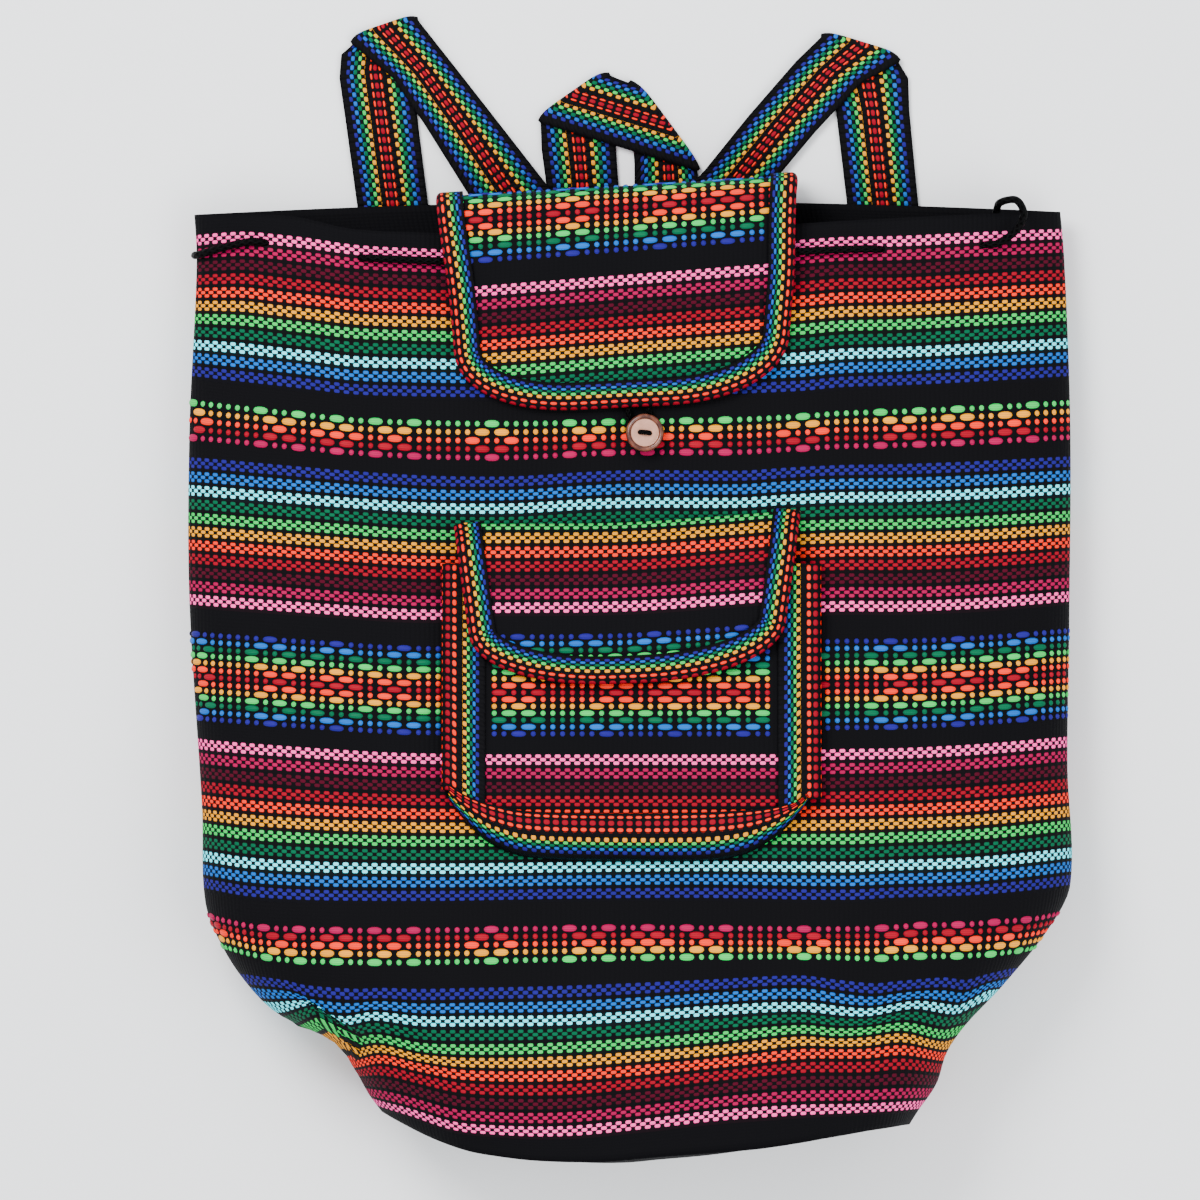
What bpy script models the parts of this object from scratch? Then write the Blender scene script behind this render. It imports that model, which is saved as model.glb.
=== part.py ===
"""A soft woven backpack, empty and lying on its back.

The bag is a striped cloth tube with an oval bottom sewn into it. A flap of the same cloth comes from the back
over the mouth, and a pocket with its own flap sits on the front. Straps, loop and bindings are one webbing.
+Z points out of the front and +Y towards the mouth. The origin is on the back, where the cloth lies flat.
"""

import math

import bmesh
import bpy
from mathutils import Matrix, Vector

MM = 0.001

# The bag
BAG_HEIGHT = 390 * MM  # cloth from rim to base
HALF_WIDTH = 185.5 * MM  # from the middle to either side
RIM_Y = 199.2 * MM  # where the rim meets the sides
MOUTH_DEPTH = 30 * MM
MIDDLE_DEPTH = 56 * MM
BASE_DEPTH = 94 * MM
CLOTH = 1.8 * MM  # thickness of the woven cloth
SEAM = 0.3 * MM  # gap between pieces that are sewn or lie together
BASE_BULGE = 10 * MM  # how far the bottom's middle stands out
FLAT_HALF = 70 * MM  # the back lies flat between the straps
RIB = 0.4 * MM  # height of a coloured stripe over its neighbours
FLOAT_RISE = 0.6 * MM  # height of the brocade's floats

# Rows of the cloth
HEM = 7.6 * MM
STRIPE = 5.75 * MM
FINE_ROW = 3.4 * MM  # a row of the narrow brocade
FLOAT_ROW = 2.87 * MM  # a row of the wide brocade

# Webbing
WEBBING_WIDTH = 30 * MM
WEBBING = 1.6 * MM  # its thickness
BINDING = 1.3 * MM  # thickness of the webbing folded over an edge
BINDING_WIDTH = 10.5 * MM

# Top flap
FLAP_HALF = 75.5 * MM
FLAP_X = -5.5 * MM
FLAP_END_Y = 119 * MM
FLAP_ROOT = 38 * MM  # how much of it is sewn to the back
FLAP_TAPER = 0.055  # narrowing on each side for each unit of length
FLAP_CORNER = 30 * MM
FLAP_TILT = 0.05
FOLD_TILT = 0.055
FOLD_REACH = 11.5 * MM  # how far its fold stands out past the rim

# Pocket
POCKET_HALF = 63.4 * MM
POCKET_TOP_Y = 53 * MM
POCKET_END_Y = -51.7 * MM
POCKET_RISE = 7.5 * MM  # from the bag's front to the pocket's cloth
POCKET_BULGE = 2.5 * MM
POCKET_CORNER = 9 * MM
GUSSET_SIDE = 14.2 * MM  # how far the folded tape stands out at the sides
GUSSET_END = 19 * MM  # and at the bottom
POCKET_FLAP_HALF = 71.5 * MM
POCKET_FLAP_X = -2 * MM
POCKET_FLAP_TOP_Y = 70 * MM
POCKET_FLAP_END_Y = 3.5 * MM
POCKET_FLAP_TAPER = 0.11
POCKET_FLAP_CORNER = 26 * MM
POCKET_FLAP_TILT = 0.035

# Button and cords
BUTTON_RADIUS = 8 * MM
BUTTON_HEIGHT = 3.6 * MM
BUTTON_X = 6.3 * MM
BUTTON_Y = 107.3 * MM
BUTTON_HOLE = 1.2 * MM  # radius
BUTTON_HOLE_SPACING = 4.2 * MM
THREAD_RADIUS = 0.7 * MM
LOOP_RADIUS = 1.2 * MM
CORD_RADIUS = 2 * MM
CORD_ROW = 13.5 * MM  # the drawstring's distance below the rim
CORD_PLAY = 0.5 * MM  # its clearance to the cloth
KNOT_SIZE = 2.3 * MM

# The outline, as shares of the height from the rim down and of the half width
LEFT_EDGE = [
    (-0.02, 0.992), (0.05, 0.984), (0.23, 1.0), (0.41, 1.0), (0.64, 0.970), (0.74, 0.962),
    (0.79, 0.920), (0.83, 0.862), (0.86, 0.795), (0.89, 0.670), (0.92, 0.622), (0.95, 0.585), (1.0, 0.500),
]
RIGHT_EDGE = [
    (-0.02, 0.975), (0.05, 0.987), (0.23, 1.0), (0.43, 0.997), (0.59, 0.992), (0.72, 0.998),
    (0.77, 0.945), (0.83, 0.842), (0.87, 0.762), (0.90, 0.718), (0.935, 0.693), (0.965, 0.650), (1.0, 0.605),
]
EDGE_SHARE = 0.4  # height of the side fold, as a share of the depth

COLOURS = {
    "black": (0.007, 0.007, 0.010),
    "pink": (0.90, 0.33, 0.50),
    "magenta": (0.46, 0.03, 0.10),
    "maroon": (0.13, 0.008, 0.02),
    "red": (0.50, 0.012, 0.03),
    "coral": (0.90, 0.20, 0.10),
    "yellow": (0.80, 0.40, 0.10),
    "light_green": (0.17, 0.58, 0.20),
    "dark_green": (0.01, 0.18, 0.10),
    "ice": (0.45, 0.78, 0.80),
    "sky": (0.04, 0.28, 0.60),
    "dark_blue": (0.03, 0.06, 0.35),
    "brown": (0.16, 0.04, 0.02),
}
RAINBOW = [
    "pink", "magenta", "maroon", "red", "coral", "yellow", "light_green", "dark_green", "ice", "sky", "dark_blue",
]
FINE_ROWS = ["light_green", "yellow", "coral", "red", "magenta"]
FLOAT_ROWS = ["dark_blue", "sky", "dark_green", "light_green", "yellow", "coral"]
WEBBING_FIELDS = [
    ("sky", 0.18), ("light_green", 0.13), ("yellow", 0.06), ("red", 0.26),
    ("yellow", 0.06), ("light_green", 0.13), ("sky", 0.18),
]
WHOLE_WIDTH = sum(share for colour, share in WEBBING_FIELDS)


def new_collection(name):
    collection = bpy.data.collections.new(name)
    bpy.context.scene.collection.children.link(collection)
    return collection


def material(name, colour, roughness=0.85):
    made = bpy.data.materials.get(name)
    if made is None:
        made = bpy.data.materials.new(name)
        made.use_nodes = True
        shader = made.node_tree.nodes["Principled BSDF"]
        shader.inputs["Base Color"].default_value = (*colour, 1.0)
        shader.inputs["Roughness"].default_value = roughness
        shader.inputs["Metallic"].default_value = 0.0
        made.diffuse_color = (*colour, 1.0)
    return made


def add_object(name, mesh, collection, colours):
    for colour in colours:
        mesh.materials.append(material("cloth_" + colour, COLOURS[colour]))
    made = bpy.data.objects.new(name, mesh)
    collection.objects.link(made)
    return made


def grid_mesh(name, rows, wrap_columns=False, wrap_rows=False, row_slots=None, column_slots=None):
    """A mesh through rows of points. Open ends stay open unless they wrap."""
    mesh = bpy.data.meshes.new(name)
    bm = bmesh.new()
    grid = [[bm.verts.new(point) for point in row] for row in rows]
    row_count = len(grid) if wrap_rows else len(grid) - 1
    column_count = len(grid[0]) if wrap_columns else len(grid[0]) - 1
    for i in range(row_count):
        upper = grid[i]
        lower = grid[(i + 1) % len(grid)]
        for j in range(column_count):
            k = (j + 1) % len(upper)
            face = bm.faces.new((upper[j], upper[k], lower[k], lower[j]))
            face.smooth = True
            if row_slots:
                face.material_index = row_slots[i]
            if column_slots:
                face.material_index = column_slots[j]
    if wrap_columns and not wrap_rows:
        bm.faces.new(grid[0])
        bm.faces.new(grid[-1])
    if wrap_columns:
        bm.normal_update()
        bmesh.ops.recalc_face_normals(bm, faces=bm.faces)
    bm.to_mesh(mesh)
    bm.free()
    return mesh


def thicken(sheet, thickness):
    wall = sheet.modifiers.new("Thickness", "SOLIDIFY")
    wall.thickness = thickness
    wall.offset = 0.0
    wall.use_even_offset = True
    return sheet


def blend(start, end, share):
    return start + (end - start) * share


def ease(start, end, at):
    share = min(max((at - start) / (end - start), 0.0), 1.0)
    return share * share * (3 - 2 * share)


def smooth(profile, at):
    """The value at a place along a list of places and values, on a cubic curve through them."""
    if at <= profile[0][0]:
        return profile[0][1]
    if at >= profile[-1][0]:
        return profile[-1][1]
    i = max(k for k in range(len(profile) - 1) if profile[k][0] <= at)
    (x0, y0), (x1, y1) = profile[i], profile[i + 1]

    def slope(k):
        before = profile[max(k - 1, 0)]
        after = profile[min(k + 1, len(profile) - 1)]
        return (after[1] - before[1]) / (after[0] - before[0])

    span = x1 - x0
    t = (at - x0) / span
    return (
        y0 * (2 * t**3 - 3 * t**2 + 1)
        + y1 * (3 * t**2 - 2 * t**3)
        + slope(i) * span * (t**3 - 2 * t**2 + t)
        + slope(i + 1) * span * (t**3 - t**2)
    )


def surface_normal(surface, across, down, step=0.4 * MM):
    """The outward direction of a surface that is given by a place across and a distance down."""
    sideways = surface(across + step, down) - surface(across - step, down)
    downwards = surface(across, down + step) - surface(across, down - step)
    return downwards.cross(sideways).normalized()


# Rows of colour in the cloth


def cloth_rows():
    """Every row of faces down the cloth: its end, how far its end stands out, and its colour."""
    wide = FLOAT_ROWS + ["red"] + FLOAT_ROWS[::-1]
    plan = [
        ("plain", ["black"], HEM),
        ("ribs", RAINBOW, STRIPE),
        ("plain", ["black"], 7.6 * MM),
        ("floats", FINE_ROWS, FINE_ROW),
        ("plain", ["black"], 6.1 * MM),
        ("ribs", RAINBOW[::-1], STRIPE),
        ("plain", ["black"], 9.2 * MM),
        ("floats", wide, FLOAT_ROW),
        ("plain", ["black"], 7.2 * MM),
        ("ribs", RAINBOW, STRIPE),
        ("plain", ["black"], 10 * MM),
        ("floats", FINE_ROWS[::-1], FINE_ROW),
        ("plain", ["black"], 7.6 * MM),
        ("ribs", RAINBOW[::-1], STRIPE),
        ("plain", ["black"], 10.4 * MM),
    ]
    fit = BAG_HEIGHT / sum(len(colours) * depth for kind, colours, depth in plan)
    rows = []
    place = 0.0
    for kind, colours, depth in plan:
        for k, colour in enumerate(colours):
            if kind == "ribs":
                rows.append((place + depth * fit / 2, RIB, colour))
                rows.append((place + depth * fit, 0.0, colour))
            else:
                inside = kind == "floats" and k < len(colours) - 1
                rows.append((place + depth * fit, FLOAT_RISE if inside else 0.0, colour))
            place += depth * fit
    return rows


def rows_between(start, end):
    """The cloth's rows from one place down it to another, with the first place itself."""
    inside = [row for row in cloth_rows() if start + 1 * MM < row[0] < end - 1 * MM]
    after = next(row for row in cloth_rows() if row[0] >= end - 1 * MM)
    return [(start, 0.0, None)] + inside + [(end, 0.0, after[2])]


# The bag's own form


def edges(down):
    share = down / BAG_HEIGHT
    return -HALF_WIDTH * smooth(LEFT_EDGE, share), HALF_WIDTH * smooth(RIGHT_EDGE, share)


def front_row_y(down, u):
    """The height of a row on the front, u from -1 at the left side to 1. Rows sag between the sides."""
    near_mouth = 5.8 - 5.1 * u - 3.8 * u**2 + 5.0 * u**3 - 3.6 * u**4
    near_base = 7.0 - 14.0 * u**2
    low = ease(0.6 * BAG_HEIGHT, BAG_HEIGHT, down)
    return RIM_Y - down - MM * blend(near_mouth, near_base, low)


def back_row_y(down, u):
    side = blend(front_row_y(down, -1), front_row_y(down, 1), (u + 1) / 2)
    rise = blend(5, -4, ease(0.6 * BAG_HEIGHT, BAG_HEIGHT, down))
    return side + rise * MM * (1 - u * u)


def depth(down):
    share = down / BAG_HEIGHT
    return smooth([(-0.05, MOUTH_DEPTH), (0.5, MIDDLE_DEPTH), (0.92, BASE_DEPTH), (1.0, BASE_DEPTH)], share)


def soft_folds(x, down):
    """Shallow hollows that run up from the two corners of the base, and a wave between them."""
    strength = ease(0.62 * BAG_HEIGHT, 0.93 * BAG_HEIGHT, down)
    left = math.exp(-(((x + 92 * MM) / (13 * MM)) ** 2))
    right = math.exp(-(((x - 98 * MM) / (16 * MM)) ** 2))
    middle = math.exp(-(((x - 30 * MM) / (40 * MM)) ** 2))
    return strength * (3 * left + 3.5 * right + 1.5 * middle) * MM


def front_z(x, y):
    """The height of the smooth front over a point."""
    down = RIM_Y - y
    left, right = edges(down)
    u = min(max((2 * x - left - right) / (right - left), -1.0), 1.0)
    top = depth(down)
    side = EDGE_SHARE * top
    return side + (top - side) * math.sqrt(1 - u**4) - soft_folds(x, down) * math.sqrt(1 - u**4)


def back_lift():
    """Room under the back for two layers of webbing and the flap's sewn end."""
    return 2 * (WEBBING + SEAM) + CLOTH + 2 * FLOAT_RISE + SEAM


def back_z(x, y):
    down = RIM_Y - y
    left, right = edges(down)
    half = (right - left) / 2
    near_root = 1 - ease(1.3 * FLAP_ROOT, 2.2 * FLAP_ROOT, down)
    if abs(x) <= FLAT_HALF + 0.01 * MM:
        return back_lift() * near_root
    low = blend(WEBBING + SEAM, back_lift(), near_root)
    beside = FLAT_HALF + 6 * MM
    share = min(max((abs(x - (left + right) / 2) - beside) / (half - beside), 0.0), 1.0)
    return low + (EDGE_SHARE * depth(down) - low) * (1 - math.sqrt(1 - share**4))


def front_point(turn, down):
    """A point of the smooth front. turn runs from -1 at the left side to 1 at the right."""
    u = math.sin(min(max(turn, -1.0), 1.0) * math.pi / 2)
    y = front_row_y(down, u)
    left, right = edges(RIM_Y - y)
    x = blend(left, right, (u + 1) / 2)
    return Vector((x, y, front_z(x, y)))


def back_point(place, down):
    """A point of the smooth back. place is its x, and the sides are at the front's edges."""
    left, right = edges(down)
    half = (right - left) / 2
    u = min(max((place - (left + right) / 2) / half, -1.0), 1.0)
    y = back_row_y(down, u)
    return Vector((place, y, back_z(place, y)))


FRONT_COLUMNS = 12


def ring(down, rib, inset=0.0):
    """The bag's section at one row, with its ribs on the front, or set in for the wall's inner face."""
    points = []
    for k in range(FRONT_COLUMNS + 1):
        turn = -1 + 2 * k / FRONT_COLUMNS
        # the last columns look outwards, so their direction is taken a little way in
        near = min(max(turn, -0.97), 0.97)
        normal = surface_normal(front_point, near, down)
        if abs(turn) == 1:
            normal = Vector((turn, 0, 0))
        share = 0 if abs(turn) == 1 else 1
        points.append(front_point(turn, down) + normal * (rib * share - inset))
    left, right = points[0].x + inset, points[-1].x - inset
    beside = FLAT_HALF + 6 * MM
    steps = [math.sin(0.78 * math.pi / 2), math.sin(0.45 * math.pi / 2)]
    places = [blend(beside, right, step) for step in steps] + [beside, FLAT_HALF]
    places += [-FLAT_HALF, -beside] + [-blend(beside, -left, step) for step in steps[::-1]]
    for place in places:
        normal = surface_normal(back_point, place, down)
        if normal.z > 0:
            normal = -normal
        if abs(place) <= beside:
            normal = Vector((0, 0, -1))
        points.append(back_point(place, down) - normal * inset)
    return points


def make_body(collection):
    rows = cloth_rows()
    colours = list(COLOURS)
    rings = [ring(0.0, 0.0)] + [ring(place, rib) for place, rib, colour in rows]
    slots = [colours.index(colour) for place, rib, colour in rows]
    inner_rows = [1.0, 0.975, 0.93, 0.86, 0.76, 0.6, 0.4, 0.2, 0.12, 0.06, 0.0]
    rings += [ring(BAG_HEIGHT * share, 0.0, CLOTH) for share in inner_rows]
    slots += [colours.index("black")] * (len(inner_rows) + 1)
    mesh = grid_mesh("body_panel", rings, wrap_columns=True, wrap_rows=True, row_slots=slots)
    return add_object("body_panel", mesh, collection, colours)


def make_base(collection):
    """The oval bottom, sewn inside the end of the tube and bulging out a little."""
    edge = ring(BAG_HEIGHT - 2.5 * MM, 0.0, CLOTH + 3 * SEAM)
    middle = sum(edge, Vector()) / len(edge)

    def scaled(share, back):
        move = Vector((0, back - BASE_BULGE * (1 - share * share), 0))
        return [blend(middle, point, share) + move for point in edge]

    shares = [0.25, 0.6, 0.88, 1.0]
    rings = [scaled(share, 0.0) for share in shares] + [scaled(share, CLOTH) for share in shares[::-1]]
    mesh = grid_mesh("base_panel", rings, wrap_columns=True)
    return add_object("base_panel", mesh, collection, ["dark_green"])


# Flaps, pocket cloth and their bindings


def half_at(from_end, half, taper, corner, length):
    """Half the width of a flap at a distance from its end, with round corners."""
    from_end = max(from_end, 0.0)
    wide = half - taper * (length - from_end)
    if from_end < corner:
        wide -= corner - math.sqrt(corner**2 - (corner - from_end) ** 2)
    return wide


def make_sheet(name, surface, rows, half_width, columns, collection):
    """Cloth on a surface: x across and a distance down it, with the rows' ribs and colours."""
    colours = list(COLOURS)
    points = []
    for down, rib, colour in rows:
        half = half_width(down)
        line = []
        for k in range(columns + 1):
            x = half * (2 * k / columns - 1)
            line.append(surface(x, down) + surface_normal(surface, x, down) * rib)
        points.append(line)
    slots = [colours.index(colour) for down, rib, colour in rows[1:]]
    mesh = grid_mesh(name, points, row_slots=slots)
    return thicken(add_object(name, mesh, collection, colours), CLOTH)


def outline(start, length, half_width, corner, straight):
    """Points round a flap's edge, from its left top to its right top, as x and distance down."""
    left = []
    for k in range(straight):
        down = blend(start, length - corner, k / straight)
        left.append((-half_width(down), down))
    turns = 5
    for k in range(turns + 1):
        from_end = corner * (1 - math.sin(k / turns * math.pi / 2))
        left.append((-half_width(length - from_end), length - from_end))
    return left + [(0.0, length)] + [(-x, down) for x, down in reversed(left)]


def binding_slot():
    """Half the room for the cloth inside a folded binding."""
    return CLOTH / 2 + 2 * RIB + 2 * SEAM


def make_binding(name, surface, points, collection):
    """Webbing folded over a flap's edge: a channel that the cloth sits in."""
    slot = binding_slot()
    high = slot + BINDING
    wide = BINDING_WIDTH
    section = [
        (0, high), (-wide, high), (-wide, slot), (-BINDING, slot),
        (-BINDING, -slot), (-wide, -slot), (-wide, -high), (0, -high),
    ]
    places = [surface(x, down) for x, down in points]
    rings = []
    for k, (x, down) in enumerate(points):
        along = (places[min(k + 1, len(places) - 1)] - places[max(k - 1, 0)]).normalized()
        up = surface_normal(surface, x, down)
        out = along.cross(up).normalized()
        rings.append([places[k] + out * across + up * rise for across, rise in section])
    mesh = grid_mesh(name, rings, wrap_columns=True)
    return add_object(name, mesh, collection, ["red"])


def flap_path():
    """The top flap's side view, root first: y, z, and how far it follows the front's form."""
    root_z = 2 * (WEBBING + SEAM) + FLOAT_RISE + CLOTH / 2
    cord_top = CORD_PLAY + RIB + 2 * CORD_RADIUS + 2 * SEAM
    thick = binding_slot() + BINDING
    cord_y = RIM_Y - CORD_ROW - 3 * MM
    over_cord = MOUTH_DEPTH + 2 * MM + cord_top + SEAM + thick
    lie = SEAM + RIB + thick
    path = [
        (RIM_Y - FLAP_ROOT, root_z, 0.0),
        (RIM_Y + FOLD_REACH - 1.5 * MM, root_z, 0.0),
        (RIM_Y + FOLD_REACH, root_z + 2.2 * MM, 0.0),
        (RIM_Y + FOLD_REACH + 0.3 * MM, 0.4 * over_cord, 0.0),
        (RIM_Y + FOLD_REACH - 1 * MM, 0.72 * over_cord, 0.0),
        (RIM_Y + 4 * MM, 0.95 * over_cord, 0.0),
        (RIM_Y - 2 * MM, over_cord, 0.3),
        (cord_y, front_z(FLAP_X, cord_y) + cord_top + SEAM + thick, 1.0),
        (cord_y - 12 * MM, front_z(FLAP_X, cord_y - 12 * MM) + cord_top + SEAM + thick - 1.5 * MM, 1.0),
    ]
    for y in (blend(cord_y, FLAP_END_Y, 0.5), blend(cord_y, FLAP_END_Y, 0.72), FLAP_END_Y):
        path.append((y, front_z(FLAP_X, y) + lie, 1.0))
    return path


def measured(path):
    """A path with the distance from its start put before each point."""
    total = 0.0
    done = [(0.0, *path[0])]
    for before, after in zip(path, path[1:]):
        total += math.dist(before[:2], after[:2])
        done.append((total, *after))
    return done


def flap_surface(path):
    heights = [(place, y) for place, y, z, follow in path]
    rises = [(place, z) for place, y, z, follow in path]
    follows = [(place, follow) for place, y, z, follow in path]

    def surface(x, down):
        turned = ease(FLAP_ROOT, 1.25 * FLAP_ROOT, down)
        tilt = blend(FOLD_TILT, FLAP_TILT, ease(1.25 * FLAP_ROOT, 3 * FLAP_ROOT, down))
        y = smooth(heights, down) + tilt * x * turned
        follow = smooth(follows, down)
        shape = front_z(FLAP_X + x, y) - front_z(FLAP_X, smooth(heights, down))
        return Vector((FLAP_X + x, y, smooth(rises, down) + shape * follow))

    return surface


def make_top_flap(collection):
    path = measured(flap_path())
    surface = flap_surface(path)
    length = path[-1][0]
    inset = 2 * BINDING
    cloth_end = 268 * MM

    def outer(down):
        return half_at(length - down, FLAP_HALF, FLAP_TAPER, FLAP_CORNER, length - FLAP_ROOT)

    def inner(down):
        return half_at(length - inset - down, FLAP_HALF - inset, FLAP_TAPER, FLAP_CORNER - inset, length - FLAP_ROOT)

    first = cloth_end - (length - inset)
    rows = [(down - first, rib, colour) for down, rib, colour in rows_between(first, cloth_end)]
    fold = FLAP_ROOT + FOLD_REACH
    rows = [row for row in rows if row[0] > fold + 3 * MM or row[1] == 0]
    rows = [row for row in rows if abs(row[0] - fold) > 3 * MM]
    after = next(k for k, row in enumerate(rows) if row[0] > fold)
    rows[after:after] = [(fold + step, 0.0, rows[after][2]) for step in (-1.5 * MM, 0.0, 1.2 * MM)]
    make_sheet("top_flap", surface, rows, inner, 8, collection)
    points = outline(fold + 5.5 * MM, length, outer, FLAP_CORNER, 15)
    make_binding("top_flap_binding", surface, points, collection)


def pocket_surface(x, down):
    y = POCKET_TOP_Y - down
    across = min(abs(x) / POCKET_HALF, 1.0)
    middle = math.sin(math.pi * min(max(down / (POCKET_TOP_Y - POCKET_END_Y), 0.0), 1.0))
    bulge = POCKET_BULGE * (1 - across**2) * middle
    return Vector((x, y, front_z(x, y) + POCKET_RISE + bulge))


def make_pocket_panel(collection):
    length = POCKET_TOP_Y - POCKET_END_Y
    first = RIM_Y - 6 * MM - POCKET_TOP_Y
    rows = [(down - first, rib, colour) for down, rib, colour in rows_between(first, first + length)]

    def half_width(down):
        return half_at(length - down, POCKET_HALF, 0.0, POCKET_CORNER - SEAM, length)

    make_sheet("pocket_panel", pocket_surface, rows, half_width, 6, collection)


def make_gusset(collection):
    """One tape round the pocket: folded along its middle at the sides, and sloping down at the bottom."""
    corner = POCKET_CORNER
    gap = SEAM + RIB + WEBBING / 2
    stations = []
    steps = 7
    top = Vector((-POCKET_HALF - gap, POCKET_TOP_Y))
    for k in range(steps):
        y = blend(top.y, POCKET_END_Y + corner, k / steps)
        stations.append((Vector((top.x, y)), math.pi))
    turns = 6
    middle = Vector((-POCKET_HALF - gap + corner, POCKET_END_Y - gap + corner))
    for k in range(turns + 1):
        angle = math.pi + k / turns * math.pi / 2
        stations.append((middle + corner * Vector((math.cos(angle), math.sin(angle))), angle))
    left = stations + [(Vector((-POCKET_HALF / 2, POCKET_END_Y - gap)), 1.5 * math.pi)]
    right = [(Vector((-place.x, place.y)), 3 * math.pi - angle) for place, angle in reversed(left)]
    lowest = Vector((0, POCKET_END_Y - gap)), 1.5 * math.pi
    rows = []
    for place, angle in [*left, lowest, *right]:
        out = Vector((math.cos(angle), math.sin(angle)))
        low = ease(0.35, 0.95, -out.y)
        reach = blend(GUSSET_SIDE, GUSSET_END, low)
        fold = blend(GUSSET_SIDE, 0.5 * GUSSET_END, low)
        foot = blend(0.35 * GUSSET_SIDE, reach, low)
        rise = blend(0.52, 0.6, low)
        section = [
            (0.0, POCKET_RISE), (0.5 * fold, POCKET_RISE * 0.84),
            (fold - 1.0 * MM * (1 - low), POCKET_RISE * rise), (fold, POCKET_RISE * blend(0.4, rise - 0.03, low)),
            (blend(fold - 1.6 * MM, fold + 2 * MM, low), POCKET_RISE * blend(0.26, rise - 0.08, low)),
            (foot, WEBBING / 2 + SEAM + RIB),
        ]
        row = []
        for across, high in section:
            point = place + out * across
            row.append(Vector((point.x, point.y, front_z(point.x, point.y) + high)))
        rows.append(row)
    colours = ["light_green", "red", "yellow"]
    mesh = grid_mesh("pocket_gusset", rows, column_slots=[0, 1, 1, 2, 2])
    tape = thicken(add_object("pocket_gusset", mesh, collection, colours), WEBBING)
    tape.modifiers["Thickness"].use_even_offset = False


def pocket_flap_surface(x, down):
    y = POCKET_FLAP_TOP_Y - down + POCKET_FLAP_TILT * x
    thick = binding_slot() + BINDING
    lie = thick + SEAM + RIB
    over = POCKET_RISE + CLOTH / 2 + FLOAT_RISE + 4 * SEAM + thick
    root = POCKET_FLAP_TOP_Y - POCKET_TOP_Y
    high = blend(lie, over, ease(0.0, 0.75 * root, down))
    across = min(abs(x + POCKET_FLAP_X) / POCKET_HALF, 1.0)
    middle = math.sin(math.pi * min(max((POCKET_TOP_Y - y) / (POCKET_TOP_Y - POCKET_END_Y), 0.0), 1.0))
    bulge = POCKET_BULGE * (1 - across**2) * middle
    place = x + POCKET_FLAP_X
    return Vector((place, y, front_z(place, y) + high + bulge))


def make_pocket_flap(collection):
    length = POCKET_FLAP_TOP_Y - POCKET_FLAP_END_Y
    inset = 2 * BINDING
    cloth_start = 127 * MM

    def outer(down):
        return half_at(length - down, POCKET_FLAP_HALF, POCKET_FLAP_TAPER, POCKET_FLAP_CORNER, length)

    def inner(down):
        corner = POCKET_FLAP_CORNER - inset
        return half_at(length - inset - down, POCKET_FLAP_HALF - inset, POCKET_FLAP_TAPER, corner, length)

    rows = rows_between(cloth_start, cloth_start + length - inset)
    rows = [(down - cloth_start, rib, colour) for down, rib, colour in rows]
    make_sheet("pocket_flap", pocket_flap_surface, rows, inner, 8, collection)
    points = outline(0.5 * MM, length, outer, POCKET_FLAP_CORNER, 7)
    make_binding("pocket_flap_binding", pocket_flap_surface, points, collection)


# Webbing ribbons

LOW = WEBBING / 2
HIGH = LOW + WEBBING + SEAM


def crease(one, other, away, low_first):
    """The turn of a ribbon at a fold line: its stations from one layer over to the other."""
    start = Vector((*one, 0)) * MM
    end = Vector((*other, 0)) * MM
    out = Vector((*away, 0)).normalized()
    radius = (HIGH - LOW) / 2
    turns = 4
    stations = []
    for k in range(turns + 1):
        angle = math.pi * (k / turns if low_first else 1 - k / turns)
        move = out * (radius * math.sin(angle) - radius - WEBBING / 2)
        move.z = LOW + radius * (1 - math.cos(angle))
        stations.append((start + move, end + move))
    return stations


def flat_run(pairs, height):
    return [(Vector((*one, 0)) * MM + Vector((0, 0, height)), Vector((*other, 0)) * MM + Vector((0, 0, height)))
            for one, other in pairs]


def make_ribbon(name, stations, collection):
    """A ribbon through stations that give its two edges, with its colours as fields along it."""
    places = [0.0]
    for colour, share in WEBBING_FIELDS:
        places.append(places[-1] + share / WHOLE_WIDTH)
    rows = [[blend(one, other, place) for place in places] for one, other in stations]
    colours = ["sky", "light_green", "yellow", "red"]
    slots = [colours.index(colour) for colour, share in WEBBING_FIELDS]
    mesh = grid_mesh(name, rows, column_slots=slots)
    return thicken(add_object(name, mesh, collection, colours), WEBBING)


def leg(edge, end, bend, top):
    """The hidden stretch of a strap under the back: edge is its left edge in millimetres at three heights."""
    wide = WEBBING_WIDTH / MM
    return [((x, y), (x + wide, y)) for x, y in zip(edge, (end, bend, top))]


def make_straps(collection):
    left = flat_run(leg((-107, -112, -114.5), -170, -40, 200), LOW)
    left += flat_run([((-116, 240), (-87.5, 244))], LOW)
    left += crease((-117.2, 273), (-89.5, 282.7), (-0.33, 0.94), low_first=True)
    left += flat_run(
        [((-100, 258), (-74, 263)), ((-87, 239), (-56, 240)), ((-68, 208.7), (-35.3, 213.4)), ((-52, 184), (-21, 194))],
        HIGH,
    )
    make_ribbon("strap_left", left, collection)

    right = flat_run(leg((80, 87, 92.2), -170, -40, 200), LOW)
    right += flat_run([((87, 244), (118, 244))], LOW)
    right += crease((80.6, 275.5), (113.5, 265.4), (0.3, 0.95), low_first=True)
    right += flat_run(
        [((70, 265), (97.5, 256)), ((50, 242), (78, 235)), ((31.6, 219.2), (62, 215.9)), ((13, 199), (43, 190))],
        HIGH,
    )
    make_ribbon("strap_right", right, collection)


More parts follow.
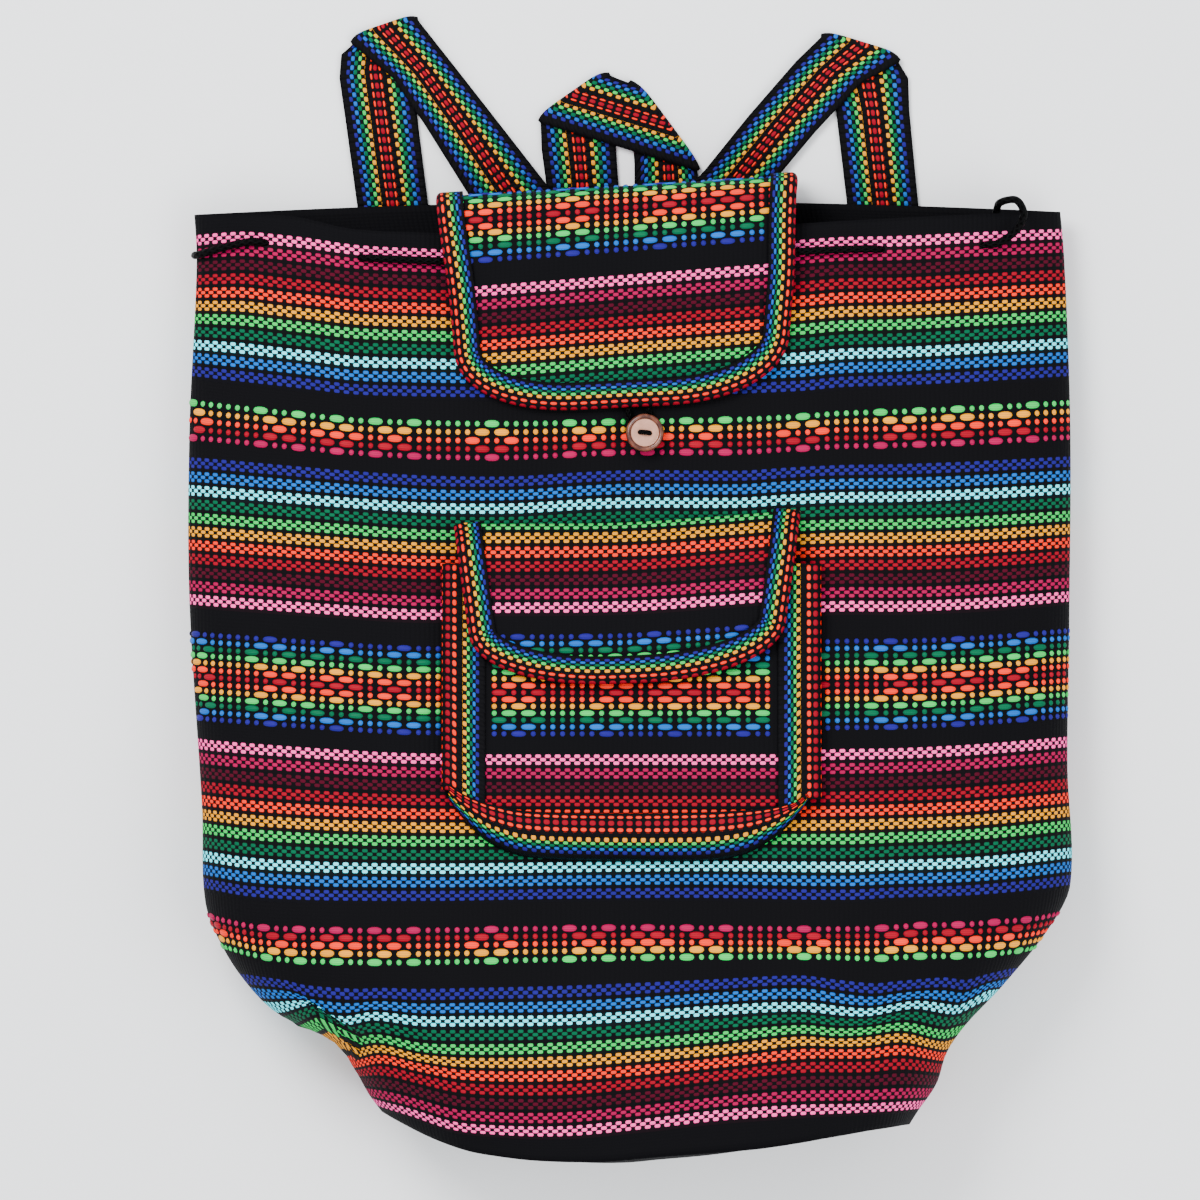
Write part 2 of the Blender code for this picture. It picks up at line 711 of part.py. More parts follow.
def make_haul_loop(collection):
    stations = flat_run([((-35.3, 180), (-5, 180)), ((-35.3, 213), (-4.8, 213)), ((-37.3, 228), (-6, 232))], LOW)
    stations += crease((-38.2, 239), (-9.2, 259.6), (-0.57, 0.82), low_first=True)
    stations += crease((28.4, 218), (0.4, 256.4), (0.81, 0.59), low_first=False)
    stations += flat_run([((31, 204), (1.7, 222)), ((31.7, 180), (1.7, 180))], LOW)
    make_ribbon("haul_loop", stations, collection)


# Cords and the button


def tube(name, points, radius, collection, colour="black", cyclic=False):
    curve = bpy.data.curves.new(name, "CURVE")
    curve.dimensions = "3D"
    curve.bevel_depth = radius
    curve.bevel_resolution = 2
    curve.use_fill_caps = True
    spline = curve.splines.new("POLY")
    spline.points.add(len(points) - 1)
    for place, point in zip(spline.points, points):
        place.co = (*point, 1.0)
    spline.use_cyclic_u = cyclic
    curve.materials.append(material("cloth_" + colour, COLOURS[colour]))
    made = bpy.data.objects.new(name, curve)
    collection.objects.link(made)
    return made


def turn_at(x, down):
    """Where across the front an x lies, as front_point takes it."""
    low, high = -1.0, 1.0
    for _ in range(30):
        middle = (low + high) / 2
        if front_point(middle, down).x < x:
            low = middle
        else:
            high = middle
    return (low + high) / 2


def over_front(x, rise):
    turn = turn_at(x, CORD_ROW)
    return front_point(turn, CORD_ROW) + surface_normal(front_point, turn, CORD_ROW) * rise


def over_back(x, rise):
    normal = surface_normal(back_point, x, CORD_ROW)
    if normal.z > 0:
        normal = -normal
    return back_point(x, CORD_ROW) + normal * rise


# the holes for the drawstring, as shares of the half width from right to left on the front
HOLES = [0.80, 0.57, 0.30, 0.05, -0.17, -0.39, -0.61, -0.825]
BACK_HOLE = -0.86
SLOT_HALF = 7.2 * MM
CORD_OUT = RIB + CORD_PLAY + CORD_RADIUS
CORD_IN = CLOTH + CORD_PLAY + CORD_RADIUS
KNOT_PLACE = Vector((0.76 * HALF_WIDTH, RIM_Y - 39 * MM, 14 * MM))


def drawstring_points():
    """The cord's route: from the knot over the rim, in and out along the front, and back inside the bag."""
    first = HOLES[0] * HALF_WIDTH
    rim = over_front(first + 12 * MM, 0)
    loop = [
        KNOT_PLACE + Vector((7, 9.5, 1.5)) * MM,
        KNOT_PLACE + Vector((8.5, 19, 4)) * MM,
        Vector((rim.x - 6 * MM, RIM_Y + 3 * MM, rim.z - 5.5 * MM)),
        Vector((rim.x - 4 * MM, RIM_Y + 6 * MM, rim.z + 4.5 * MM)),
        Vector((rim.x + 2 * MM, RIM_Y + 6.5 * MM, rim.z + 8 * MM)),
        Vector((rim.x + 5 * MM, RIM_Y + 1 * MM, rim.z + 7.5 * MM)),
        Vector((rim.x + 2 * MM, RIM_Y - 6 * MM, rim.z + 5.5 * MM)),
    ]
    points = list(loop)
    outside = True
    for k, share in enumerate(HOLES):
        hole = share * HALF_WIDTH
        before, after = (CORD_OUT, -CORD_IN) if outside else (-CORD_IN, CORD_OUT)
        for place in (-1.0, -0.5, 0.0, 0.5, 1.0):
            rise = blend(before, after, ease(-1.0, 1.0, place))
            points.append(over_front(hole - place * (SLOT_HALF - 1.2 * MM), rise))
        outside = not outside
        if k + 1 < len(HOLES):
            middle = (share + HOLES[k + 1]) / 2 * HALF_WIDTH
            points.append(over_front(middle, CORD_OUT if outside else -CORD_IN))
    left = over_front(-0.97 * HALF_WIDTH, CORD_OUT)
    side = edges(CORD_ROW)[0]
    middle_z = EDGE_SHARE * MOUTH_DEPTH
    points.append(over_front(-0.91 * HALF_WIDTH, CORD_OUT))
    points.append(left)
    points.append(Vector((side - CORD_OUT, left.y, middle_z + 2.5 * MM)))
    points.append(Vector((side - CORD_OUT + 1 * MM, left.y, middle_z - 3 * MM)))
    hole = BACK_HOLE * HALF_WIDTH
    for place in (-1.0, -0.5, 0.0, 0.5, 1.0):
        rise = blend(CORD_OUT - RIB, -CORD_IN, ease(-1.0, 1.0, place))
        points.append(over_back(hole + place * (SLOT_HALF - 1.2 * MM), rise))
    for share in (-0.7, -0.55, -0.4, -0.2, 0.0, 0.2, 0.4, 0.55):
        points.append(over_back(share * HALF_WIDTH, -CORD_IN - 2 * SEAM))
    points.append(KNOT_PLACE + Vector((-17, 17, -1.5)) * MM)
    points.append(KNOT_PLACE + Vector((-9, 9, 0)) * MM)
    return points


def slot_cutter(name, point, along, normal, cutters):
    """A flat round-ended block that opens the wall for the cord."""
    mesh = bpy.data.meshes.new(name)
    bm = bmesh.new()
    bmesh.ops.create_cone(
        bm, cap_ends=True, segments=16, radius1=CORD_RADIUS + CORD_PLAY, radius2=CORD_RADIUS + CORD_PLAY,
        depth=4 * CLOTH,
    )
    reach = SLOT_HALF - CORD_RADIUS - CORD_PLAY
    for vert in bm.verts:
        if abs(vert.co.x) > 0.01 * MM:
            vert.co.x += math.copysign(reach, vert.co.x)
    across = normal.cross(along).normalized()
    turned = Matrix((along, across, normal)).transposed().to_4x4()
    bm.transform(Matrix.Translation(point) @ turned)
    bm.normal_update()
    bmesh.ops.recalc_face_normals(bm, faces=bm.faces)
    bm.to_mesh(mesh)
    bm.free()
    cutter = bpy.data.objects.new(name, mesh)
    cutter.hide_render = True
    cutter.display_type = "WIRE"
    cutters.objects.link(cutter)
    return cutter


def open_slots(body, cutters):
    step = 1 * MM
    for k, share in enumerate([*HOLES, BACK_HOLE]):
        where = over_back if share == BACK_HOLE else over_front
        x = share * HALF_WIDTH
        along = (where(x + step, 0) - where(x - step, 0)).normalized()
        normal = (where(x, step) - where(x, 0)).normalized()
        cutter = slot_cutter(f"slot_{k + 1}", where(x, -CLOTH / 2), along, normal, cutters)
        cut = body.modifiers.new(f"Slot {k + 1}", "BOOLEAN")
        cut.operation = "DIFFERENCE"
        cut.object = cutter


def make_drawstring(body, collection, cutters):
    open_slots(body, cutters)
    tube("drawstring", drawstring_points(), CORD_RADIUS, collection)


def make_knot(collection):
    """The knot that joins the cord's ends, as a trefoil of the same cord."""
    points = []
    steps = 26
    for k in range(steps):
        t = 2 * math.pi * k / steps
        across = math.sin(t) + 2 * math.sin(2 * t)
        along = math.cos(t) - 2 * math.cos(2 * t)
        rise = -0.95 * math.sin(3 * t)
        points.append(KNOT_PLACE + Vector((across, along, rise)) * KNOT_SIZE)
    tube("drawstring_knot", points, 0.85 * CORD_RADIUS, collection, cyclic=True)


def button_seat():
    """The place and direction in which the button stands on the bag's front."""
    def over(x, down):
        return Vector((x, RIM_Y - down, front_z(x, RIM_Y - down)))

    down = RIM_Y - BUTTON_Y
    normal = surface_normal(over, BUTTON_X, down)
    return over(BUTTON_X, down) + normal * FLOAT_RISE, normal


def shank():
    """Room under the button for the loop."""
    return 2 * LOOP_RADIUS + 3 * SEAM


def make_button(collection, cutters):
    """A turned button with a raised rim, a dished face and two holes."""
    r, h = BUTTON_RADIUS, BUTTON_HEIGHT
    profile = [
        (0.0, 0.62 * h), (0.62 * r, 0.66 * h), (0.74 * r, 0.92 * h), (0.86 * r, h), (0.96 * r, 0.86 * h),
        (r, 0.6 * h), (0.96 * r, 0.36 * h), (0.75 * r, 0.1 * h), (0.4 * r, 0.0), (0.0, 0.0),
    ]
    mesh = bpy.data.meshes.new("button")
    mesh.from_pydata([(x, 0, z) for x, z in profile], [(k, k + 1) for k in range(len(profile) - 1)], [])
    button = add_object("button", mesh, collection, ["brown"])
    turned = button.modifiers.new("Turned", "SCREW")
    turned.steps = turned.render_steps = 20
    turned.use_merge_vertices = True
    turned.merge_threshold = 0.0001
    seat, normal = button_seat()
    button.location = seat + normal * shank()
    button.rotation_euler = normal.to_track_quat("Z", "Y").to_euler()
    for k, side in enumerate((-1, 1)):
        bpy.ops.mesh.primitive_cylinder_add(vertices=12, radius=BUTTON_HOLE, depth=3 * BUTTON_HEIGHT)
        hole = bpy.context.object
        hole.name = f"button_hole_{k + 1}"
        hole.parent = button
        hole.location = (side * BUTTON_HOLE_SPACING / 2, 0, 0)
        hole.hide_render = True
        hole.display_type = "WIRE"
        bpy.context.collection.objects.unlink(hole)
        cutters.objects.link(hole)
        cut = button.modifiers.new(f"Hole {k + 1}", "BOOLEAN")
        cut.operation = "DIFFERENCE"
        cut.object = hole
    return button


def make_thread(collection):
    """The bar of thread through the button's holes and down to the cloth."""
    seat, normal = button_seat()
    across = Vector((1, 0, 0))
    across = (across - normal * across.dot(normal)).normalized()
    half = BUTTON_HOLE_SPACING / 2
    face = shank() + 0.66 * BUTTON_HEIGHT
    low = SEAM
    points = [
        (-half, low), (-half, shank()), (-half, face - 0.2 * MM), (-0.8 * half, face + 0.9 * MM),
        (-0.3 * half, face + 1.25 * MM), (0.3 * half, face + 1.25 * MM), (0.8 * half, face + 0.9 * MM),
        (half, face - 0.2 * MM), (half, shank()), (half, low),
    ]
    tube("button_thread", [seat + across * x + normal * z for x, z in points], THREAD_RADIUS, collection)


def make_button_loop(collection):
    """The loop sewn to the flap's edge, which passes round the thread under the button."""
    start_y = FLAP_END_Y - 0.6 * MM
    round_thread = BUTTON_HOLE_SPACING / 2 + THREAD_RADIUS + LOOP_RADIUS + SEAM
    lie = FLOAT_RISE + SEAM + LOOP_RADIUS
    flat = []
    for k in range(9):
        angle = math.radians(25 - 230 * k / 8)
        flat.append((BUTTON_X + round_thread * math.cos(angle), BUTTON_Y + round_thread * math.sin(angle), lie))
    start = [(BUTTON_X + 1 * MM, start_y, 1.8 * lie), (BUTTON_X + 3 * MM, start_y - 4 * MM, lie)]
    end = [(BUTTON_X - 6.2 * MM, BUTTON_Y + 5 * MM, lie), (BUTTON_X - 7 * MM, start_y, 1.8 * lie)]
    points = [Vector((x, y, front_z(x, y) + rise)) for x, y, rise in [*start, *flat, *end]]
    tube("button_loop", points, LOOP_RADIUS, collection)


def main():
    for old in list(bpy.data.objects):
        bpy.data.objects.remove(old, do_unlink=True)
    parts = new_collection("backpack")
    cutters = new_collection("cutters")
    body = make_body(parts)
    make_base(parts)
    make_top_flap(parts)
    make_pocket_panel(parts)
    make_gusset(parts)
    make_pocket_flap(parts)
    make_straps(parts)
    make_haul_loop(parts)
    make_drawstring(body, parts, cutters)
    make_knot(parts)
    make_button(parts, cutters)
    make_thread(parts)
    make_button_loop(parts)


main()
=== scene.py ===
import math

import bmesh
import bpy
import numpy as np
from mathutils import Matrix, Vector


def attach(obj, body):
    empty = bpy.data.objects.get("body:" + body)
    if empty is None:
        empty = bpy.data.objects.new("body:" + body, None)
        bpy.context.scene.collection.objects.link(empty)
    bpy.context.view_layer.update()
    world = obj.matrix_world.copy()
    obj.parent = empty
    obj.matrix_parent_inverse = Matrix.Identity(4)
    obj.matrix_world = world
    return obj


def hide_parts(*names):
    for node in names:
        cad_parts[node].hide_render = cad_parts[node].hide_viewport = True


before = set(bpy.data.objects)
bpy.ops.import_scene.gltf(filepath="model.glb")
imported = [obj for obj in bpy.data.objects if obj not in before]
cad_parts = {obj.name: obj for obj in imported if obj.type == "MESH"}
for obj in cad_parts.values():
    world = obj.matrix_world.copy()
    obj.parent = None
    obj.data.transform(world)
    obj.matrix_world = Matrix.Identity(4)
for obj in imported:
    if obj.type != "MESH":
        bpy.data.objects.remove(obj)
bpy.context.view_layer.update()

mm = 0.001
pixel = 0.42 * mm  # one pixel of the photograph
pi = math.pi


# Camera and light

view = {
    "centre": (-12.6 * mm, 37.8 * mm),
    "frame": 1200 * pixel,
    "middle": 600,  # the photograph's middle, in its pixels
    "lens": 500.0,
    "sensor": 36.0,
    "focusHeight": 35 * mm,
    "target": (0, 0, 0.03),
    "lights": {"keyLight": ((-0.7, 0.9, 1.5), 0.9, 44), "fillLight": ((0.9, -0.5, 1.4), 1.2, 20)},  # place, size, power
    "sky": (0.95, 0.97, 1.0, 1.0),
    "skyStrength": 1.55,
}
cameraDistance = view["frame"] * view["lens"] / view["sensor"]


def addCamera():
    data = bpy.data.cameras.new("camera")
    data.lens = view["lens"]
    data.sensor_width = view["sensor"]
    data.clip_end = 50.0
    camera = bpy.data.objects.new("camera", data)
    bpy.context.scene.collection.objects.link(camera)
    camera.location = (*view["centre"], view["focusHeight"] + cameraDistance)
    bpy.context.scene.camera = camera


def addLight(name, place, size, power):
    data = bpy.data.lights.new(name, "AREA")
    data.shape = "DISK"
    data.size = size
    data.energy = power
    light = bpy.data.objects.new(name, data)
    light.location = place
    light.rotation_euler = (Vector(view["target"]) - Vector(place)).to_track_quat("-Z", "Y").to_euler()
    bpy.context.scene.collection.objects.link(light)


addCamera()
for name, settings in view["lights"].items():
    addLight(name, *settings)
world = bpy.data.worlds.new("studio")
world.use_nodes = True
world.node_tree.nodes["Background"].inputs["Color"].default_value = view["sky"]
world.node_tree.nodes["Background"].inputs["Strength"].default_value = view["skyStrength"]
bpy.context.scene.world = world
print("stage: camera and light")


# Shader maths


def operator(operation):
    return lambda value, *others: value.maths(operation, *others)


class Value:
    def __init__(self, tree, socket):
        self.tree = tree
        self.socket = socket

    def link(self, value, target):
        if isinstance(value, Value):
            self.tree.links.new(value.socket, target)
        elif hasattr(value, "__len__") and target.type == "RGBA":
            target.default_value = (*value[:3], 1.0)
        else:
            target.default_value = value

    def node(self, kind, *inputs, output=0, **settings):
        made = self.tree.nodes.new(kind)
        for key, setting in settings.items():
            setattr(made, key, setting)
        for k, value in enumerate(inputs):
            if value is not None:
                self.link(value, made.inputs[k])
        return Value(self.tree, made.outputs[output])

    def maths(self, operation, *inputs):
        return self.node("ShaderNodeMath", self, *inputs, operation=operation)

    __add__ = __radd__ = operator("ADD")
    __mul__ = __rmul__ = operator("MULTIPLY")
    __sub__ = operator("SUBTRACT")
    __truediv__ = operator("DIVIDE")
    __pow__ = operator("POWER")
    __gt__ = operator("GREATER_THAN")
    floor = operator("FLOOR")
    part = operator("FRACT")
    size = operator("ABSOLUTE")
    cosine = operator("COSINE")
    most = operator("MAXIMUM")

    def __rsub__(self, other):
        return self.node("ShaderNodeMath", other, self, operation="SUBTRACT")

    def limited(self):
        return self.node("ShaderNodeClamp", self)

    def mixed(self, low, high):
        made = self.tree.nodes.new("ShaderNodeMix")
        made.data_type = "RGBA"
        self.link(self, made.inputs[0])
        self.link(low, made.inputs[6])
        self.link(high, made.inputs[7])
        return Value(self.tree, made.outputs[2])

    def scaled(self, share):
        made = self.tree.nodes.new("ShaderNodeVectorMath")
        made.operation = "SCALE"
        self.link(self, made.inputs[0])
        self.link(share, made.inputs[3])
        return Value(self.tree, made.outputs[0])


def newMaterial(name, roughness, specular=0.5):
    made = bpy.data.materials.new(name)
    made.use_nodes = True
    made.diffuse_color = (0.1, 0.1, 0.12, 1.0)
    shader = made.node_tree.nodes["Principled BSDF"]
    shader.inputs["Roughness"].default_value = roughness
    shader.inputs["Specular IOR Level"].default_value = specular
    return made, made.node_tree, shader


def uvOf(tree):
    coordinates = tree.nodes.new("ShaderNodeUVMap")
    coordinates.uv_map = "weave"
    split = tree.nodes.new("ShaderNodeSeparateXYZ")
    tree.links.new(coordinates.outputs[0], split.inputs[0])
    return Value(tree, split.outputs[0]), Value(tree, split.outputs[1])


def attribute(tree, name):
    made = tree.nodes.new("ShaderNodeAttribute")
    made.attribute_name = name
    return Value(tree, made.outputs["Color"]), Value(tree, made.outputs["Alpha"])


def grain(tree, scale, detail=2.0):
    # fine noise on the piece's own coordinates, in turns per metre
    place = tree.nodes.new("ShaderNodeTexCoord")
    place = Value(tree, place.outputs["Object"])
    return place.node("ShaderNodeTexNoise", place, None, scale, detail)


def finishMaterial(tree, shader, colour, height, distance, strength):
    colour.link(colour, shader.inputs["Base Color"])
    bump = tree.nodes.new("ShaderNodeBump")
    bump.inputs["Strength"].default_value = strength
    bump.inputs["Distance"].default_value = distance
    height.link(height, bump.inputs["Height"])
    tree.links.new(bump.outputs[0], shader.inputs["Normal"])


# Yarn colours, linear

yarns = {
    "black": (0.0016, 0.0015, 0.0022),
    "pink": (0.98, 0.075, 0.34),
    "magenta": (0.29, 0.0006, 0.050),
    "maroon": (0.054, 0.0016, 0.0100),
    "red": (0.24, 0.0005, 0.0110),
    "coral": (0.76, 0.018, 0.0030),
    "yellow": (0.66, 0.25, 0.004),
    "lightGreen": (0.011, 0.43, 0.070),
    "darkGreen": (0.0015, 0.082, 0.036),
    "ice": (0.080, 0.80, 0.92),
    "sky": (0.0015, 0.095, 0.39),
    "darkBlue": (0.0130, 0.0080, 0.150),
}
rainbow = [
    "pink", "magenta", "maroon", "red", "coral", "yellow", "lightGreen", "darkGreen", "ice", "sky", "darkBlue",
]
wideHalf = ["darkBlue", "sky", "darkGreen", "lightGreen", "yellow", "coral"]
webbingHalf = ["black", *wideHalf[:5], "black", "coral"]

# Woven cloth: a chain of rings in each stripe, and fine ribs where it is black

weave = {
    "period": 4.08 * mm,  # from one warp rib to the next but one
    "pick": 1.4375 * mm,
    "dotWide": 0.285,
    "dotHigh": 0.58,
}


def clothMaterial():
    made, tree, shader = newMaterial("wovenCloth", 0.82, 0.06)
    a, b = uvOf(tree)
    yarn, ring = attribute(tree, "yarn")
    row = b.floor()
    odd = (row / 2).part() * 2
    gap = ((row / 4).part() * 4) > 2.5
    cellX = (a + 0.5 + odd * 0.5).part() - 0.5
    cellY = b.part() - 0.5
    far = (cellX / weave["dotWide"]).size() ** 2.4 + (cellY / weave["dotHigh"]).size() ** 2.4
    dot = ((1.25 - far) * 2.2).limited()
    shown = dot * ring * (1 - gap)
    seed = (a + 0.5 + odd * 0.5).floor() * 12.9898 + row * 78.233
    noise = yarn.node("ShaderNodeTexWhiteNoise", None, seed, noise_dimensions="1D")
    texture = grain(tree, 1400.0)
    light = 0.84 + noise * 0.14 + texture * 0.2
    dark = yarn.scaled(0.003 * ring)
    plain = yarn.node("ShaderNodeVectorMath", dark, yarns["black"], operation="ADD")
    colour = shown.mixed(plain, yarn.scaled(light))
    dome = (1 - far * 0.6).most(0) * (1 - gap * 0.4) * ring
    ribs = ((a * 4 * pi).cosine() * 0.5 + 0.5) * (1 - ring) * 0.35 + ((b * 2 * pi).cosine() * 0.06) * (1 - ring)
    finishMaterial(tree, shader, colour, dome + ribs + texture * 0.1, 0.45 * mm, 0.8)
    return made


def threadMaterial():
    made, tree, shader = newMaterial("brocadeThread", 0.5, 0.05)
    a, b = uvOf(tree)
    yarn, spare = attribute(tree, "yarn")
    strands = (b * 2 * pi * 3.5 + (a * 5).cosine() * 0.8).cosine() * 0.5 + 0.5
    # painted shade: the float's colour darkens towards its edges, where it dips into the cloth
    edge = (((a - 0.5) * 2).size() ** 4 * 0.2 + ((b - 0.5) * 2).size() ** 4 * 0.3).limited()
    # painted highlight: the strands lighten the colour up to 1.25 times as satin sheen along the threads; the strands
    # are also the threads' own relief in the bump
    light = (0.95 + strands * 0.3) * (1 - edge)
    finishMaterial(tree, shader, yarn.scaled(light), strands, 0.12 * mm, 0.7)
    return made


webbing = {
    "width": 30 * mm,
    "thickness": 1.4 * mm,
    "period": 3.85 * mm,
    "fields": [*webbingHalf, "red", *webbingHalf[::-1]],
    "widths": [2.8, 1.55, 1.6, 1.6, 1.45, 1.6, 1.9, 1.35, 2.5, 1.35, 1.9, 1.6, 1.45, 1.6, 1.6, 1.55, 2.8],
}


def webbingMaterial():
    made, tree, shader = newMaterial("webbing", 0.75, 0.06)
    a, b = uvOf(tree)
    ramp = tree.nodes.new("ShaderNodeValToRGB")
    ramp.color_ramp.interpolation = "CONSTANT"
    count = len(webbing["fields"])
    elements = ramp.color_ramp.elements
    for k, name in enumerate(webbing["fields"]):
        stop = elements[k] if k < 2 else elements.new(k / count)
        stop.position = k / count
        stop.color = (*yarns[name], 1.0)
    a.link(a / count, ramp.inputs[0])
    yarn = Value(tree, ramp.outputs[0])
    index = a.floor()
    middle = 1 - ((a - 8.5).size() > 1.5)
    odd = (index / 2).part() * 2 * (1 - middle)
    cellX = a.part() - 0.5
    cellY = (b + odd * 0.5).part() - 0.5
    far = (cellX / (0.56 - middle * 0.23)).size() ** 2.6 + (cellY / (0.27 + middle * 0.055)).size() ** 2.6
    dot = ((1.2 - far) * 2.5).limited()
    texture = grain(tree, 1400.0)
    light = 0.86 + texture * 0.24
    colour = dot.mixed(yarns["black"], yarn.scaled(light))
    ribs = (b * 4 * pi).cosine() * 0.12
    finishMaterial(tree, shader, colour, (1 - far * 0.6).most(0) + ribs, 0.5 * mm, 0.8)
    return made


def cordMaterial():
    made, tree, shader = newMaterial("braidedCord", 0.5, 0.03)
    a, b = uvOf(tree)
    left = ((a + b) * 2 * pi).cosine()
    right = ((a - b) * 2 * pi).cosine()
    braid = left.most(right)
    texture = grain(tree, 1800.0)
    # painted highlight: the braid's crests are coloured lighter than the black cord; the grain term is random tone and
    # the braid's relief is in the bump
    light = braid * 0.0009 + texture * 0.0006 + 0.0003
    colour = light.node("ShaderNodeCombineColor", light, light, light * 1.15)
    finishMaterial(tree, shader, colour, braid, 0.3 * mm, 0.9)
    return made


clothLook = clothMaterial()
threadLook = threadMaterial()
webbingLook = webbingMaterial()
cordLook = cordMaterial()
print("stage: materials")


# Curves and surfaces


def mix(start, end, share):
    return start + (end - start) * share


def ease(start, end, at):
    share = np.clip((at - start) / (end - start), 0.0, 1.0)
    return share * share * (3 - 2 * share)


def cubic(x, level, at):
    # a cubic curve through places, with each one's value from its number
    at = np.clip(np.asarray(at, float), x[0], x[-1])
    i = np.clip(np.searchsorted(x, at, side="right") - 1, 0, len(x) - 2)
    before, after = np.maximum(i - 1, 0), np.minimum(i + 2, len(x) - 1)
    span = x[i + 1] - x[i]
    t = (at - x[i]) / span
    first = (level(i + 1) - level(before)) / (x[i + 1] - x[before])
    last = (level(after) - level(i)) / (x[after] - x[i])
    return (
        level(i) * (2 * t**3 - 3 * t**2 + 1) + level(i + 1) * (3 * t**2 - 2 * t**3)
        + first * span * (t**3 - 2 * t**2 + t) + last * span * (t**3 - t**2)
    )


def smooth(profile, at):
    x, y = np.array(profile, float).T
    return cubic(x, lambda k: y[k], at)


def hump(x, middle, width):
    return np.exp(-(((x - middle) / width) ** 2))


def stack(x, y, z):
    x, y, z = np.broadcast_arrays(x, y, z)
    return np.stack([x, y, z], axis=-1)


def unit(vectors):
    return vectors / np.linalg.norm(vectors, axis=-1, keepdims=True)


def travelled(points):
    # distance from the first point, along the first axis
    steps = np.linalg.norm(np.diff(points, axis=0), axis=-1)
    return np.concatenate([0 * steps[:1], np.cumsum(steps, axis=0)])


def arcs(points):
    # the same along each row of points
    return travelled(points.swapaxes(0, 1)).T


def between(at, place, points):
    return np.stack([np.interp(at, place, points[:, c]) for c in range(3)], axis=-1)


def normals(surface, across, down, step=0.4 * mm, side=0.4 * mm):
    sideways = surface(across + side, down) - surface(across - side, down)
    downwards = surface(across, down + step) - surface(across, down - step)
    return unit(np.cross(downwards, sideways))


# The bag's form, as in the CAD, with the folds that the photograph shows

bag = {
    "height": 390 * mm,
    "half": 185.5 * mm,
    "rimY": 199.2 * mm,
    "depths": [(-0.05, 30 * mm), (0.5, 56 * mm), (0.92, 94 * mm), (1.0, 94 * mm)],
    "edgeShare": 0.4,
    "cloth": 1.8 * mm,
    "flatHalf": 70 * mm,
    "backLift": 7.1 * mm,
    "backLow": 1.9 * mm,
    "flapRoot": 38 * mm,
    "leftEdge": [
        (-0.02, 0.992), (0.05, 0.984), (0.23, 1.0), (0.41, 1.0), (0.64, 0.970), (0.74, 0.962),
        (0.79, 0.920), (0.83, 0.862), (0.86, 0.795), (0.89, 0.670), (0.92, 0.622), (0.95, 0.585), (1.0, 0.500),
    ],
    "rightEdge": [
        (-0.02, 0.975), (0.05, 0.987), (0.23, 1.0), (0.43, 0.997), (0.59, 0.992), (0.72, 0.998),
        (0.77, 0.945), (0.83, 0.842), (0.87, 0.762), (0.90, 0.718), (0.935, 0.693), (0.965, 0.650), (1.0, 0.605),
    ],
}


# Rows of the cloth, from the rim down

rowPlan = [
    ("plain", ["black"], 7.6), ("ring", rainbow, 5.75), ("plain", ["black"], 7.6),
    ("narrow", ["lightGreen", "yellow", "coral", "red", "magenta"], 3.4), ("plain", ["black"], 6.1),
    ("ring", rainbow[::-1], 5.75), ("plain", ["black"], 9.2),
    ("wide", [*wideHalf, "red", *wideHalf[::-1]], 2.87),
    ("plain", ["black"], 7.2), ("ring", rainbow, 5.75), ("plain", ["black"], 10.0),
    ("narrow", ["magenta", "red", "coral", "yellow", "lightGreen"], 3.4), ("plain", ["black"], 7.6),
    ("ring", rainbow[::-1], 5.75), ("plain", ["black"], 10.4),
]


def clothRows(plan):
    fit = bag["height"] / (sum(len(names) * deep for kind, names, deep in plan) * mm)
    rows = []
    place = 0.0
    for kind, names, deep in plan:
        for k, name in enumerate(names):
            end = place + deep * mm * fit
            rows.append({"start": place, "end": end, "kind": kind, "yarn": name, "index": k})
            place = end
    return rows


bagRows = clothRows(rowPlan)

# the flaps are cut where the wide band stands a little higher
flapPlan = list(rowPlan)
flapPlan[6] = ("plain", ["black"], rowPlan[6][2] - 2.0)
flapPlan[8] = ("plain", ["black"], rowPlan[8][2] + 2.0)
flapRows = clothRows(flapPlan)


def edges(down):
    share = down / bag["height"]
    return -bag["half"] * smooth(bag["leftEdge"], share), bag["half"] * smooth(bag["rightEdge"], share)


def lowDown(down):
    return ease(0.6 * bag["height"], bag["height"], down)


def backRow(down, u):
    left, right = frontPoint(-1.0, down)[..., 1], frontPoint(1.0, down)[..., 1]
    return mix(left, right, (u + 1) / 2) + mix(5.0, -4.0, lowDown(down)) * mm * (1 - u * u)


def depthAt(down):
    return smooth(bag["depths"], down / bag["height"])


def softFolds(x, down):
    strength = ease(0.62 * bag["height"], 0.93 * bag["height"], down)
    left = hump(x, -92 * mm, 13 * mm)
    right = hump(x, 98 * mm, 16 * mm)
    middle = hump(x, 30 * mm, 40 * mm)
    return strength * (3 * left + 3.5 * right + 1.5 * middle) * mm


def wrinkles(x, y):
    # shallow unevenness of the lying cloth
    a = np.sin(x / (17 * mm) + 0.9 * np.sin(y / (31 * mm)))
    b = np.sin(y / (23 * mm) + 1.3 * np.sin(x / (41 * mm) + 2.0))
    c = np.sin((x + 0.6 * y) / (11 * mm) + 1.7 * np.sin(y / (47 * mm)))
    return (0.28 * a + 0.32 * b + 0.16 * c) * mm


def frontHeight(x, y):
    down = bag["rimY"] - y
    left, right = edges(down)
    u = np.clip((2 * x - left - right) / (right - left), -1.0, 1.0)
    top = depthAt(down)
    side = bag["edgeShare"] * top
    roundness = np.sqrt(1 - u**4)
    return side + (top - side - softFolds(x, down) + wrinkles(x, y)) * roundness


